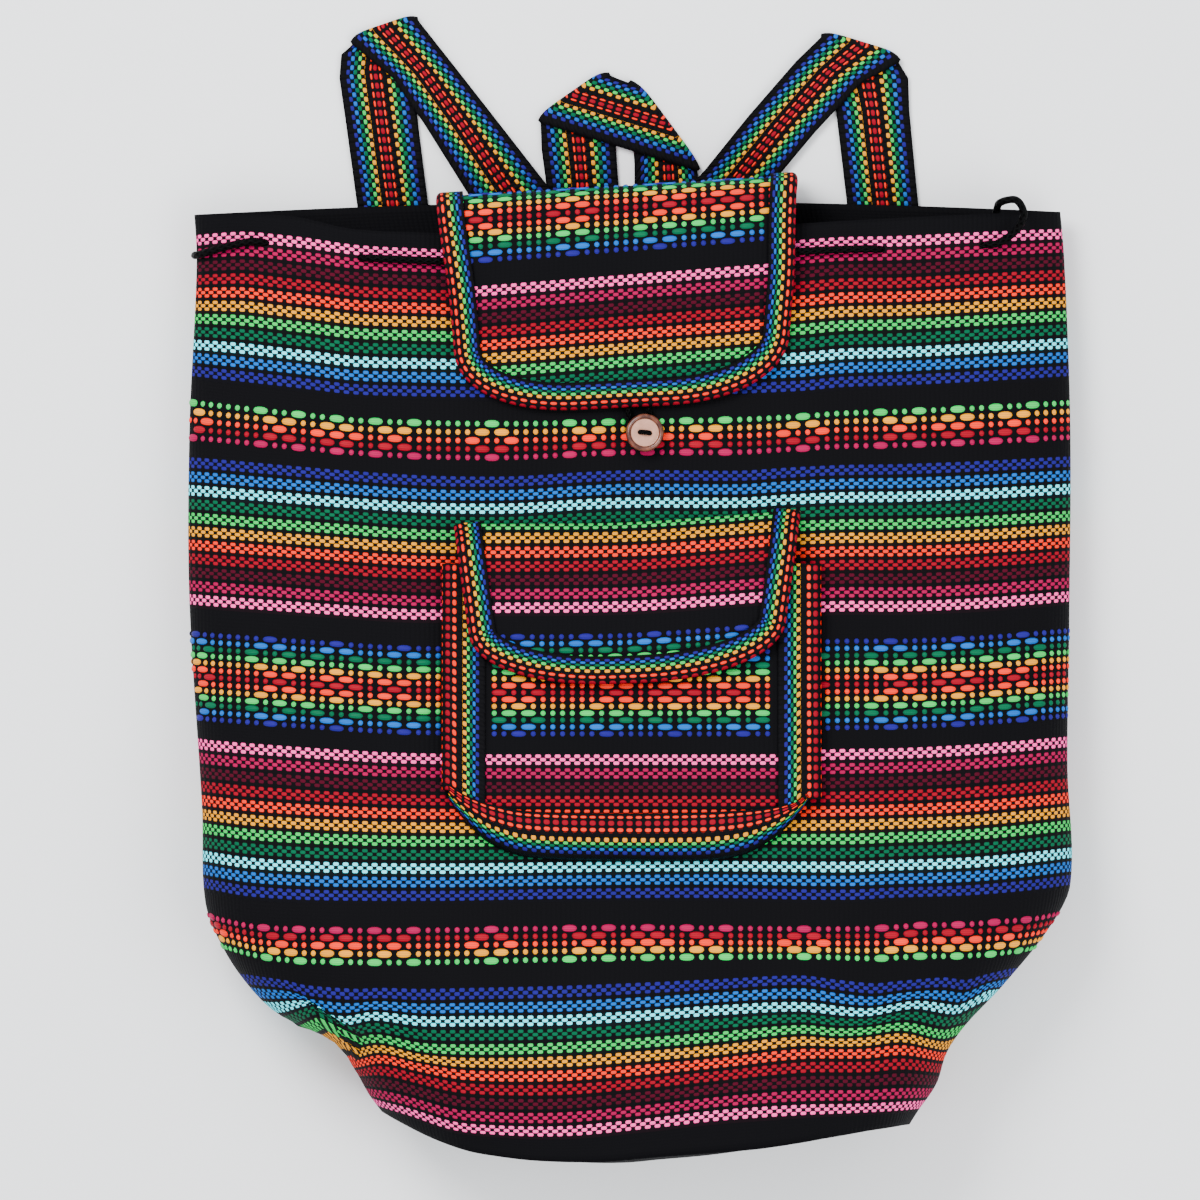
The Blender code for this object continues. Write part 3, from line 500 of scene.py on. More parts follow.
# the places of some rows in the photograph, in its pixels: the row's number from the rim, then points along it,
# with the rim and the bottom's edge as the first and the last
rowLines = [
    (-0.5, [(192, 214), (290, 216), (352, 229), (436, 233), (620, 236), (796, 224), (900, 218), (980, 214),
            (1059, 211)]),
    (1, [(192, 242), (215, 240), (245, 238.5), (275, 241.5), (310, 245.5), (360, 252), (415, 255), (470, 257),
         (620, 257), (796, 247), (840, 244), (900, 243), (980, 239), (1062, 235)]),
    (11, [(190, 372), (215, 375), (267, 381), (310, 386), (353, 391), (415, 393), (484, 394), (620, 394),
          (796, 388), (840, 384), (900, 382), (980, 378), (1072, 372)]),
    (19, [(189, 464), (215, 466), (330, 476), (415, 482), (470, 483.5), (520, 483), (583, 479), (634, 477),
          (740, 477.5), (787, 474.5), (840, 472), (900, 471), (980, 468), (1071, 463)]),
    (29, [(189, 601), (215, 603), (330, 611), (415, 616), (620, 616), (840, 608), (900, 608), (980, 605),
          (1071, 598)]),
    (45, [(197, 746), (215, 748), (330, 756), (415, 760), (620, 761), (840, 756), (900, 755), (980, 751),
          (1069, 744)]),
    (55, [(204, 886), (215, 888), (247, 893), (295, 896), (352, 897), (448, 897), (560, 895), (700, 894),
          (846, 896), (893, 894), (966, 892), (1022, 888), (1068, 883)]),
    (57, [(205, 916), (213, 919), (253, 927), (291, 929), (333, 930), (406, 930), (545, 928), (640, 927),
          (760, 928), (809, 928.5), (875, 928), (920, 925), (961, 924.5), (1000, 922), (1035, 919.5), (1060, 915)]),
    (61, [(218, 947), (258, 956.5), (292, 960.5), (333, 961.5), (406, 962), (545, 959), (640, 957), (760, 956),
          (806, 956), (875, 958), (920, 956), (960, 956), (998, 954), (1031, 950), (1050, 946)]),
    (63, [(247, 982.5), (285, 987), (304, 992), (352, 996), (381, 994.5), (419, 996), (467, 995), (560, 993),
          (650, 989), (720, 985), (800, 981), (837, 986), (874, 990), (896, 987.5), (944, 984), (966, 987),
          (985, 981), (1011, 975)]),
    (65, [(250, 1008), (304, 1016.5), (318, 1019), (345, 1022.5), (373, 1017), (419, 1022), (467, 1022),
          (560, 1021), (650, 1016), (720, 1011), (800, 1008), (865, 1013.5), (915, 1006), (957, 1012),
          (970, 1007), (989, 997)]),
    (67, [(300, 1040), (343, 1046.5), (377, 1040), (419, 1048.5), (467, 1050.5), (560, 1048.5), (650, 1043),
          (720, 1037.5), (800, 1030), (837, 1033), (865, 1032), (904, 1028), (944, 1037), (959, 1033.5)]),
    (69, [(345, 1069), (354, 1067.5), (381, 1061), (419, 1068.5), (467, 1076), (560, 1076.5), (650, 1070),
          (720, 1063.5), (800, 1055), (865, 1055), (904, 1052), (944, 1060)]),
    (73, [(360, 1102), (379, 1107), (410, 1114.5), (448, 1126), (477, 1130), (560, 1132), (650, 1124),
          (720, 1116), (800, 1111), (855, 1110), (911, 1108.5)]),
    (74.5, [(360, 1106), (380, 1114), (396, 1122), (430, 1138), (465, 1150), (492, 1155), (538, 1160),
            (600, 1161), (660, 1156), (751, 1149), (802, 1142), (848, 1134), (904, 1127)]),
]


def toPlace(px, py, height):
    # a place in the photograph, for a surface at this height
    share = pixel * (1 - (height - view["focusHeight"]) / cameraDistance)
    return view["centre"][0] + (px - view["middle"]) * share, view["centre"][1] + (view["middle"] - py) * share


def measuredRows():
    lines = []
    for number, points in rowLines:
        row = bagRows[min(max(int(number), 0), len(bagRows) - 1)]
        place = (row["start"] + row["end"]) / 2
        if number < 0:
            place = 0.0
        if number > len(bagRows) - 1:
            place = bag["height"]
        height = 0.85 * float(depthAt(place))
        lines.append((place, [toPlace(px, py, height) for px, py in points]))
    return lines


pleat = {
    "top": (300.5, 994.8),  # in the photograph's pixels
    "end": (344.5, 1052.0),
    "height": 70 * mm,
    "rise": 27 * pixel,
    "reach": 19 * mm,
    "step": 0.3 * mm,
    "lines": (9, 11, 12),  # it starts, is whole and ends at these rowLines
}


def pleatRise(x, row, down):
    # at the lower left the cloth tucks behind a fold, where its rows rise
    topX, topY = toPlace(*pleat["top"], pleat["height"])
    endX, endY = toPlace(*pleat["end"], pleat["height"])
    foldX = topX + (topY - row) * (endX - topX) / (topY - endY)
    behind = 1 - ease(foldX - pleat["step"], foldX + pleat["step"], x)
    near = ease(foldX - pleat["reach"], foldX, x)
    start, whole, end = (measured[k][0] for k in pleat["lines"])
    deep = ease(start - 2 * mm, whole, down) * (1 - ease(whole + 2 * mm, end, down))
    return pleat["rise"] * behind * near * deep


def rowAt(x, down):
    # where the cloth's row lies, between the measured ones
    x, down = np.broadcast_arrays(np.asarray(x, float), np.asarray(down, float))
    y = np.stack([smooth(line, x) for place, line in measured])
    places = np.array([place for place, line in measured])
    at = np.clip(down, places[0], places[-1])
    row = cubic(places, lambda k: np.take_along_axis(y, k[None], axis=0)[0], at)
    return row + (at - down) + pleatRise(x, row, down)


def frontPoint(turn, down):
    u = np.sin(np.clip(turn, -1.0, 1.0) * pi / 2)
    y = bag["rimY"] - down + 0 * u
    for k in range(9):
        left, right = edges(bag["rimY"] - y)
        x = mix(left, right, (u + 1) / 2)
        y = mix(y, rowAt(x, down), 0.8)
    return stack(x, y, frontHeight(x, y))


def backHeight(x, y):
    down = bag["rimY"] - y
    left, right = edges(down)
    half = (right - left) / 2
    nearRoot = 1 - ease(1.3 * bag["flapRoot"], 2.2 * bag["flapRoot"], down)
    low = mix(bag["backLow"], bag["backLift"], nearRoot)
    beside = bag["flatHalf"] + 6 * mm
    share = np.clip((np.abs(x - (left + right) / 2) - beside) / (half - beside), 0.0, 1.0)
    outer = low + (bag["edgeShare"] * depthAt(down) - low) * (1 - np.sqrt(1 - share**4))
    flat = bag["backLift"] * nearRoot
    return mix(flat, outer, ease(bag["flatHalf"] + 0.5 * mm, beside, np.abs(x)))


def backPoint(turn, down):
    u = np.sin(turn * pi / 2)
    y = backRow(down, u)
    left, right = edges(bag["rimY"] - y)
    x = mix(left, right, (u + 1) / 2)
    return stack(x, y, backHeight(x, y))


measured = measuredRows()


def faceRows(start, end, rows):
    # the rows of faces between two places down the cloth: places, and what each row of faces shows
    places = [start]
    shown = []
    for row in rows:
        low, high = max(row["start"], start), min(row["end"], end)
        if high - low < 0.05 * mm:
            continue
        deep = row["end"] - row["start"]
        picks = 4 if row["kind"] == "ring" else max(2, 2 * round(deep / weave["pick"] / 2))
        steps = 2 if row["kind"] == "ring" else max(1, round((high - low) / (3 * mm)))
        ring = 1.0 if row["kind"] == "ring" else 0.0
        colour = yarns[row["yarn"]] if ring else yarns["black"]
        for k in range(steps):
            a, b = mix(low, high, k / steps), mix(low, high, (k + 1) / steps)
            shown.append(((a - row["start"]) / deep * picks, (b - row["start"]) / deep * picks, (*colour, ring)))
            places.append(b)
    return np.array(places), shown


# Meshes


def fill(layer, key, values):
    layer.data.foreach_set(key, np.asarray(values, np.float32).reshape(-1))


def gridMesh(name, points, across, along=None, shown=(), closing=None):
    # the weave's place down the cloth comes from along, or with the colours from shown
    rows, columns = points.shape[:2]
    wide = columns if closing is not None else columns - 1
    i, j = np.meshgrid(np.arange(rows - 1), np.arange(wide), indexing="ij")
    k = (j + 1) % columns
    corners = np.stack([i * columns + j, (i + 1) * columns + j, (i + 1) * columns + k, i * columns + k], axis=-1)
    mesh = bpy.data.meshes.new(name)
    mesh.from_pydata(points.reshape(-1, 3).tolist(), [], corners.reshape(-1, 4).tolist())
    later = across[:, 1:] if closing is None else np.concatenate([across[:, 1:], closing[:, None]], axis=1)
    here = across[:, :wide]
    u = np.stack([here[:-1], here[1:], later[1:], later[:-1]], axis=-1)
    if shown:
        v = np.array([[first, last, last, first] for first, last, colour in shown])[:, None, :] + 0 * u
    else:
        if along.ndim == 1:
            along = np.repeat(along[:, None], wide + 1, axis=1)
        v = np.stack([along[:-1, :-1], along[1:, :-1], along[1:, 1:], along[:-1, 1:]], axis=-1)
    fill(mesh.uv_layers.new(name="weave"), "uv", np.stack([u, v], axis=-1))
    if shown:
        colours = np.array([colour for first, last, colour in shown])[:, None, None, :] + np.zeros((1, wide, 4, 1))
        fill(mesh.attributes.new("yarn", "FLOAT_COLOR", "CORNER"), "color", colours)
    mesh.shade_smooth()
    return mesh


def addPiece(name, mesh, look, replaces=(), thickness=None, offset=0.0):
    made = bpy.data.objects.new(name, mesh)
    bpy.context.scene.collection.objects.link(made)
    mesh.materials.append(look)
    if thickness:
        wall = made.modifiers.new("wall", "SOLIDIFY")
        wall.thickness = thickness
        wall.offset = offset
        bpy.ops.object.select_all(action="DESELECT")
        bpy.context.view_layer.objects.active = made
        made.select_set(True)
        bpy.ops.object.modifier_apply(modifier="wall")
    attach(made, "root")
    if replaces:
        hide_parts(*replaces)
    return made


# The bag's cloth

bodyGrid = {"front": 176, "back": 72, "patternX": 7.3 * mm, "hem": 32 * mm}


def makeBody():
    places, shown = faceRows(0.0, bag["height"], bagRows)
    frontTurns = np.linspace(-1, 1, bodyGrid["front"] + 1)
    backTurns = np.linspace(1, -1, bodyGrid["back"] + 1)[1:-1]
    front = frontPoint(frontTurns[None, :], places[:, None])
    back = backPoint(backTurns[None, :], places[:, None])
    points = np.concatenate([front, back], axis=1)
    along = arcs(np.concatenate([points, points[:, :1]], axis=1))
    middle = np.array([np.interp(bodyGrid["patternX"], row[:, 0], far[: len(row)]) for row, far in zip(front, along)])
    across = (along - middle[:, None]) / weave["period"]
    mesh = gridMesh("bagCloth", points, across[:, :-1], shown=shown, closing=across[:, -1])
    piece = addPiece("bagCloth", mesh, clothLook, ["body_panel"], bag["cloth"], -1.0)
    # the hem's turned-in cloth is black
    wide = points.shape[1]
    loops = 4 * wide * (len(places) - 1)
    inside = 4 * wide * int(np.searchsorted(places, bodyGrid["hem"]))
    layer = piece.data.attributes["yarn"]
    colours = np.zeros(len(layer.data) * 4, np.float32)
    layer.data.foreach_get("color", colours)
    colours[loops * 4 : (loops + inside) * 4] = [*yarns["black"], 0.0] * inside
    fill(layer, "color", colours)
    return piece, float(along[:, -1].mean())


bagCloth, bagAround = makeBody()
print("stage: bag cloth")


# The oval bottom, sewn inside the end of the tube


base = {"up": 2.5 * mm, "gap": 0.9 * mm, "bulge": 10 * mm, "rings": 24, "picks": 30}


def makeBase():
    down = bag["height"] - base["up"]
    front = frontPoint(np.linspace(-1, 1, 73), down)
    back = backPoint(np.linspace(1, -1, 49)[1:-1], down)
    edge = np.concatenate([front, back])
    middle = edge.mean(axis=0)
    reach = edge - middle
    reach[:, 1] = 0
    edge = edge - unit(reach) * (bag["cloth"] + base["gap"])
    shares = np.linspace(0.02, 1.0, base["rings"])
    points = np.stack([middle + (edge - middle) * s - np.array([0, base["bulge"] * (1 - s * s), 0]) for s in shares])
    across = points[:, :, 0] / weave["period"]
    turns = shares * base["picks"]
    shown = [(first, last, (*yarns["black"], 0.0)) for first, last in zip(turns, turns[1:])]
    mesh = gridMesh("baseCloth", points, across, shown=shown, closing=across[:, 0])
    piece = addPiece("baseCloth", mesh, clothLook, ["base_panel"], bag["cloth"])


makeBase()
print("stage: base")


# Brocade floats, each a small satin lens on the cloth

brocade = {
    "narrow": {
        "lightGreen": (0, 4, 8, 16), "yellow": (1, 5, 7, 15), "coral": (0, 2, 6, 14),
        "red": (1, 5, 7, 15), "magenta": (0, 4, 8, 16),
    },
    "wide": {
        "darkBlue": (0, 7, 16), "sky": (1, 6, 8, 15), "darkGreen": (2, 5, 9, 14), "lightGreen": (3, 6, 9, 15),
        "yellow": (0, 4, 8, 16), "coral": (1, 5, 7, 15), "red": (0, 2, 6, 14),
    },
    "repeat": 32,
    "rise": 0.62 * mm,
    "sunk": 0.25 * mm,
    "floatHalf": 0.80,
    "dotHalf": 0.295,
    "margin": 1.2 * mm,
    "steps": 600,
}


def lensShape(turns, rings, squareness):
    # a flat dome over a rounded rectangle: along, down, up, with its faces
    angles = np.arange(turns) / turns * 2 * pi + pi / turns
    outline = np.stack([np.cos(angles), np.sin(angles)], axis=-1)
    outline = outline / (np.abs(outline) ** squareness).sum(axis=-1, keepdims=True) ** (1 / squareness)
    points = [np.array([[0, 0, 1.0]])]
    for share, up in rings:
        points.append(np.concatenate([outline * share, np.full((turns, 1), up)], axis=1))
    faces = [[0, 1 + k, 1 + (k + 1) % turns] for k in range(turns)]
    for ring in range(len(rings) - 1):
        first = 1 + ring * turns
        for k in range(turns):
            after = (k + 1) % turns
            faces.append([first + k, first + turns + k, first + turns + after])
            faces.append([first + k, first + turns + after, first + after])
    return np.concatenate(points), np.array(faces)[:, ::-1]


def floatPlaces(columns, low, high):
    # long floats and single dots along one row, as places and half lengths in columns
    repeat = brocade["repeat"]
    floats = set()
    for group in range(math.floor(low / repeat) - 1, math.ceil(high / repeat) + 2):
        for k in columns:
            floats.add(group * repeat + k)
            floats.add(group * repeat - k)
    covered = {k - 0.5 for k in floats} | {k + 0.5 for k in floats}
    places = [(k, brocade["floatHalf"]) for k in sorted(floats) if low < k - 0.7 and k + 0.7 < high]
    k = math.floor(low) + 0.5
    while k + 0.4 < high:
        if k - 0.4 > low and k not in covered:
            places.append((k, brocade["dotHalf"]))
        k += 1
    return places


def makeFloats(name, surface, start, end, centreX, rows, lift=0.0, side=1):
    longLens = lensShape(14, [(0.62, 0.86), (0.92, 0.42), (1.0, 0.0)], 2.4)
    dotLens = lensShape(8, [(0.62, 0.85), (1.0, 0.0)], 3.0)
    allPoints, allFaces, allColours, allUvs = [], [], [], []
    total, period, margin = 0, weave["period"], brocade["margin"]
    turns = side * np.linspace(-1, 1, brocade["steps"])
    for row in rows:
        middle = (row["start"] + row["end"]) / 2
        if row["kind"] not in brocade or not start + margin < middle < end - margin:
            continue
        points = surface(turns, middle - start)
        below = surface(turns, middle - start + 0.5 * mm)
        lengths = travelled(points)
        ahead = unit(np.gradient(points, axis=0))
        up = unit(np.cross(below - points, ahead))
        downward = unit(np.cross(ahead, up))
        origin = np.interp(side * centreX, side * points[:, 0], lengths)
        places = floatPlaces(
            brocade[row["kind"]][row["yarn"]], -origin / period, (lengths[-1] - origin) / period,
        )
        halfDown = (row["end"] - row["start"]) * 0.48
        for k, (place, half) in enumerate(places):
            shape, faces = longLens if half > 0.5 else dotLens
            deep = halfDown if half > 0.5 else min(halfDown * 0.92, 1.35 * mm)
            size = [half * period, deep, brocade["rise"] + brocade["sunk"]]
            centre, *axes = [between(origin + place * period, lengths, axis) for axis in (points, ahead, downward, up)]
            allPoints.append(centre + (shape * size + [0, 0, lift - brocade["sunk"]]) @ np.array(axes))
            allFaces.append(faces + total)
            shade = 0.92 + 0.16 * math.sin(k * 2.399 + row["index"] * 1.7) ** 2
            tint = [shade * c for c in yarns[row["yarn"]]]
            allColours.append(np.repeat([[*tint, 1.0]], len(shape), axis=0))
            allUvs.append(shape[:, :2] * [[half / brocade["floatHalf"], 1.0]] * 0.5 + 0.5)
            total += len(shape)
    faces = np.concatenate(allFaces)
    mesh = bpy.data.meshes.new(name)
    mesh.from_pydata(np.concatenate(allPoints).tolist(), [], faces.tolist())
    fill(mesh.attributes.new("yarn", "FLOAT_COLOR", "POINT"), "color", np.concatenate(allColours))
    fill(mesh.uv_layers.new(name="weave"), "uv", np.concatenate(allUvs)[faces.reshape(-1)])
    mesh.shade_smooth()
    return addPiece(name, mesh, threadLook)


bagFloats = [
    makeFloats(name, surface, 0.0, bag["height"], bodyGrid["patternX"], bagRows, side=side)
    for name, surface, side in (("frontFloats", frontPoint, 1), ("backFloats", backPoint, -1))
]
print("stage: brocade")


# Flaps, pocket cloth and their bindings


def halfAt(piece, down, inset=0.0):
    # the half width of a piece that narrows to its end and has rounded corners
    corner = piece["corner"] - inset
    fromEnd = np.maximum(piece["length"] - inset - down, 0.0)
    wide = piece["half"] - inset - piece["taper"] * np.maximum(piece["tapered"] - fromEnd, 0.0)
    inside = np.clip(corner - fromEnd, 0.0, corner) / corner
    return wide - (piece["cornerWide"] - inset) * (1 - (1 - inside**2.2) ** (1 / 2.2))


def clothPiece(name, surface, piece, node, rows):
    # its rows go down from the cloth's own place at its top, and the skew turns them
    first, inset = piece["first"], piece["inset"]
    length = piece["length"] - inset
    places, shown = faceRows(first, first + length, rows)
    downs = (places - first)[:, None]

    def turned(across, down):
        return surface(across, down - piece["skew"] * ease(0.3 * length, 0.4 * length, down) * across)

    def narrowed(turn, down):
        return turned(turn * (halfAt(piece, down, inset) - brocade["margin"]), down)

    half = halfAt(piece, downs, inset)
    x = np.linspace(-1, 1, piece["columns"] + 1)[None, :] * half
    points = turned(x, downs)
    across = (x + (points[:, :, 0] - x)[:, :1] - piece["patternX"]) / weave["period"]
    cloth = addPiece(name, gridMesh(name, points, across, shown=shown), clothLook, [node], bag["cloth"])
    centreX, lift = piece["patternX"], bag["cloth"] / 2
    floats = makeFloats(name + "Floats", narrowed, first, first + length, centreX, rows, lift)


fold = {
    "thickness": 1.0 * mm,
    "period": 4.3 * mm,
    "slot": 1.6 * mm,
    "fields": [
        (0.0, 8.5), (1.2 * mm, 9.0), (2.9 * mm, 10.0), (3.8 * mm, 11.0), (5.2 * mm, 12.0), (6.5 * mm, 13.0),
        (7.5 * mm, 14.0), (8.5 * mm, 15.0), (9.6 * mm, 16.0), (10.8 * mm, 17.0),
    ],  # places from the fold, with the field of the webbing that starts there
}
foldThick = fold["slot"] + fold["thickness"]


def makeBinding(name, surface, x, down, node):
    # webbing folded over an edge, from its edge on the front round the fold to its edge on the back
    places = surface(x, down)
    along = unit(np.gradient(places, axis=0))
    up = normals(surface, x, down)
    out = unit(np.cross(along, up))
    rise = fold["slot"] + fold["thickness"] / 2
    flat = np.array([place for place, field in fold["fields"] if place > rise])[::-1]
    angles = pi / 2 * np.linspace(1, 0, 9)
    inward = np.concatenate([flat, rise * (1 - np.cos(angles))])
    high = np.concatenate([np.full(len(flat), rise), rise * np.sin(angles)])
    field = np.interp(inward, *np.array(fold["fields"]).T)
    inward = np.concatenate([inward, inward[-2::-1]])
    high = np.concatenate([high, -high[-2::-1]])
    field = np.concatenate([field, 17 - field[-2::-1]])
    points = places[:, None, :] - out[:, None, :] * inward[None, :, None] + up[:, None, :] * high[None, :, None]
    lengths = travelled(places)
    mesh = gridMesh(name, points, field[None, :] + 0 * lengths[:, None], lengths / fold["period"])
    piece = addPiece(name, mesh, webbingLook, [node], fold["thickness"])
    float(arcs(points)[:, -1].mean())


def flapOutline(piece, start, straight, turns):
    length, corner = piece["length"], piece["corner"]
    downs = np.linspace(start, length - corner, straight, endpoint=False)
    angles = np.linspace(0, pi / 2, turns + 1)
    downs = np.concatenate([downs, length - corner * (1 - np.sin(angles))])
    left = -halfAt(piece, downs)
    flat = np.linspace(left[-1], 0, 9)[1:]
    x = np.concatenate([left, flat, -flat[::-1][1:], -left[::-1]])
    down = np.concatenate([downs, np.full(len(flat) * 2 - 1, length), downs[::-1]])
    return x, down


def makeFlap(name, node, piece, surface, start, straight, turns):
    clothPiece(name + "Cloth", surface, piece, node, flapRows)
    x, down = flapOutline(piece, start, straight, turns)
    makeBinding(name + "Binding", surface, x, down, node + "_binding")


topFlap = {
    "half": 75.5 * mm,
    "x": -5.5 * mm,
    "endY": 119 * mm,
    "root": 38 * mm,
    "rootZ": 5.3 * mm,
    "taper": 0.085,
    "tapered": 92 * mm,
    "corner": 27 * mm,
    "cornerWide": 50 * mm,
    "tilt": 0.05,
    "foldTilt": 0.06,
    "reach": 11.5 * mm,
    "overMouth": 32 * mm,
    "overCord": 5.8 * mm,
    "lie": 0.7 * mm,
    "clothEnd": 271.2 * mm,
    "skew": 0.027,
    "shift": 2.0 * mm,
    "inset": 2.6 * mm,
    "columns": 64,
    "patternX": 41.0 * mm,
    "cordRow": 13.5 * mm,
}


def frontZ(x, y):
    return float(frontHeight(x, y))


def flapPath():
    # places up the bag and heights, from the seam behind the mouth to the flap's end, and how far it follows the front
    rimY, x, endY, rootZ = bag["rimY"], topFlap["x"], topFlap["endY"], topFlap["rootZ"]
    cordY = rimY - topFlap["cordRow"] - 3 * mm
    high = topFlap["overCord"] + foldThick
    top = topFlap["overMouth"] + high
    foldY = rimY + topFlap["reach"]
    path = [
        (rimY - topFlap["root"], rootZ, 0.0),
        (foldY - 1.5 * mm, rootZ, 0.0),
        (foldY, rootZ + 2.2 * mm, 0.0),
        (foldY + 0.3 * mm, 0.4 * top, 0.0),
        (foldY - 0.6 * mm, 0.80 * top, 0.0),
        (rimY + 6.5 * mm, 0.97 * top, 0.0),
        (rimY - 2 * mm, top, 0.3),
        (cordY, frontZ(x, cordY) + high, 1.0),
        (cordY - 12 * mm, frontZ(x, cordY - 12 * mm) + high - 1.5 * mm, 1.0),
    ]
    for y in (mix(cordY, endY, 0.5), mix(cordY, endY, 0.72), endY):
        path.append((y, frontZ(x, y) + topFlap["lie"] + foldThick, 1.0))
    path = np.array(path)
    return np.concatenate([travelled(path[:, :2])[:, None], path], axis=1)


flapRoute = flapPath()
topFlap["length"] = float(flapRoute[-1, 0])
topFlap["first"] = topFlap["clothEnd"] - (topFlap["length"] - topFlap["inset"])


def flapSurface(x, down):
    row, rise, follow = (smooth(flapRoute[:, [0, k]], down) for k in (1, 2, 3))
    root, length = topFlap["root"], topFlap["length"]
    turned = ease(root, 1.25 * root, down)
    tilt = mix(topFlap["foldTilt"], topFlap["tilt"], ease(1.25 * root, 3 * root, down))
    y = row + tilt * x * turned
    place = topFlap["x"] + x + topFlap["shift"] * ease(length - 88 * mm, length - 45 * mm, down)
    shape = frontHeight(place, y) - frontHeight(topFlap["x"], row)
    return stack(place, y, rise + shape * follow)


makeFlap(
    "flap", "top_flap", topFlap, flapSurface,
    topFlap["root"] + topFlap["reach"] + 3 * mm, 90, 40,
)

pocket = {
    "half": 63.4 * mm,
    "topY": 53 * mm,
    "endY": -51.7 * mm,
    "length": 104.7 * mm,
    "rise": 7.5 * mm,
    "bulge": 2.5 * mm,
    "corner": 8.7 * mm,
    "cornerWide": 8.7 * mm,
    "taper": 0.0,
    "tapered": 0.0,
    "skew": 0.0,
    "inset": 0.0,
    "columns": 56,
    "first": 138.6 * mm,
    "patternX": 18.7 * mm,
}


def pocketBulge(x, y):
    across = np.clip(np.abs(x) / pocket["half"], 0.0, 1.0)
    middle = np.sin(pi * np.clip((pocket["topY"] - y) / pocket["length"], 0.0, 1.0))
    return pocket["bulge"] * (1 - across**2) * middle


def pocketSurface(x, down):
    y = pocket["topY"] - down
    return stack(x, y, frontHeight(x, y) + pocket["rise"] + pocketBulge(x, y))


clothPiece(
    "pocketCloth", pocketSurface, pocket, "pocket_panel", bagRows,
)


# One tape down each side of the pocket and one round its bottom, over the ends of the others

tape = {
    "thickness": 1.2 * mm,
    "height": 84 * mm,
    "lap": 2.2 * mm,
    "inner": {"pocketLeftTape": 485.0, "pocketRightTape": 778.5},
    "sideFields": [
        (0.0, 0.0), (2.6, 1.0), (4.0, 2.0), (5.3, 3.0), (6.4, 4.0), (7.7, 5.0), (9.3, 6.0), (11.6, 7.0),
        (14.2, 8.0), (16.8, 9.0), (40.0, 17.0),
    ],
    # offset from the inner edge and rise, in mm, and the share of the pocket's rise
    "side": [
        (0.0, 1.6, 1.0), (8.0, 1.6, 1.0), (15.2, 0.9, 1.0), (16.9, -0.5, 1.0), (17.6, 0.0, 0.68), (17.4, 0.0, 0.4),
        (15.8, 0.0, 0.26), (8.0, 1.5, 0.0),
    ],
    # shares of the width, with the field of the webbing there
    "bottomFields": [
        (0.0, 6.7), (0.04, 7.0), (0.13, 8.0), (0.295, 9.0), (0.42, 10.0), (0.52, 11.0), (0.62, 12.0), (0.685, 13.0),
        (0.74, 14.0), (0.80, 15.0), (0.875, 16.0), (1.0, 17.0),
    ],
    # its two edges in the photograph's pixels
    "bottom": [
        (448, 785, 450, 800), (462, 794, 462, 816), (476, 800, 478, 833), (495, 806, 497, 846), (532, 812, 534, 857),
        (620, 814, 620, 860), (700, 813, 700, 860), (740, 811, 742, 854), (765, 809, 768, 841), (783, 806, 787, 826),
        (797, 802, 802, 808), (807, 794, 809, 797),
    ],
}


def makeTape(name, points, across, nodes=()):
    lengths = travelled(points[:, 4])
    mesh = gridMesh(name, points, across, lengths / webbing["period"])
    piece = addPiece(name, mesh, webbingLook, nodes, tape["thickness"])
    float(arcs(points)[:, -1].mean())


def makeTapes():
    height = tape["height"]
    guide = np.array([[*toPlace(a, b, height), *toPlace(c, d, height)] for a, b, c, d in tape["bottom"]])
    ticks = np.arange(len(guide))
    fine = np.linspace(0, len(guide) - 1, 100)
    ends = np.stack([smooth(np.stack([ticks, guide[:, k]], axis=-1), fine) for k in range(4)], axis=-1)
    shares = np.linspace(0, 1, 25)
    x = mix(ends[:, 0:1], ends[:, 2:3], shares[None, :])
    y = mix(ends[:, 1:2], ends[:, 3:4], shares[None, :])
    high = 1.0 * mm + (pocket["rise"] + 1.6 * mm) * np.sqrt(1 - shares**2.6)
    field = np.interp(shares, *np.array(tape["bottomFields"]).T)
    points = stack(x, y, frontHeight(x, y) + high)
    makeTape("pocketBottomTape", points, field[None, :] + 0 * fine[:, None], ["pocket_gusset"])
    offset, rise, share = np.array(tape["side"]).T
    marks = travelled(np.stack([offset, pocket["rise"] / mm * share + rise], axis=-1))
    finer = np.linspace(0, marks[-1], 33)
    offset, rise, share = (np.interp(finer, marks, values) for values in (offset, rise, share))
    rise = rise * mm + pocket["rise"] * share
    flat = np.maximum.accumulate(offset) + np.maximum(0, finer - finer[np.argmax(offset)])
    field = np.interp(flat, *np.array(tape["sideFields"]).T)
    down = np.linspace(0, 1, 46)[:, None]
    for side, (name, inner) in zip((-1, 1), tape["inner"].items()):
        x = toPlace(inner, 0, height)[0] + side * offset * mm
        end = np.interp(x, guide[:, 0], guide[:, 1]) - tape["lap"]
        x, y = x[None, :] + 0 * down, mix(pocket["topY"], end[None, :], down)
        points = stack(x, y, frontHeight(x, y) + rise[None, :])
        makeTape(name, points[:, ::-side], (field[None, :] + 0 * down)[:, ::-side])


makeTapes()

pocketFlap = {
    "half": 72.3 * mm,
    "x": -1.2 * mm,
    "topY": 70 * mm,
    "length": 66.5 * mm,
    "taper": 0.14,
    "tapered": 66.5 * mm,
    "corner": 21 * mm,
    "cornerWide": 54 * mm,
    "skew": 0.0,
    "inset": 2.6 * mm,
    "columns": 60,
    "lift": 0.04,
    "liftReach": 18 * mm,
    "over": 2.7 * mm,
    "lie": 0.7 * mm,
    "first": 126.2 * mm,
    "patternX": -18.5 * mm,
}


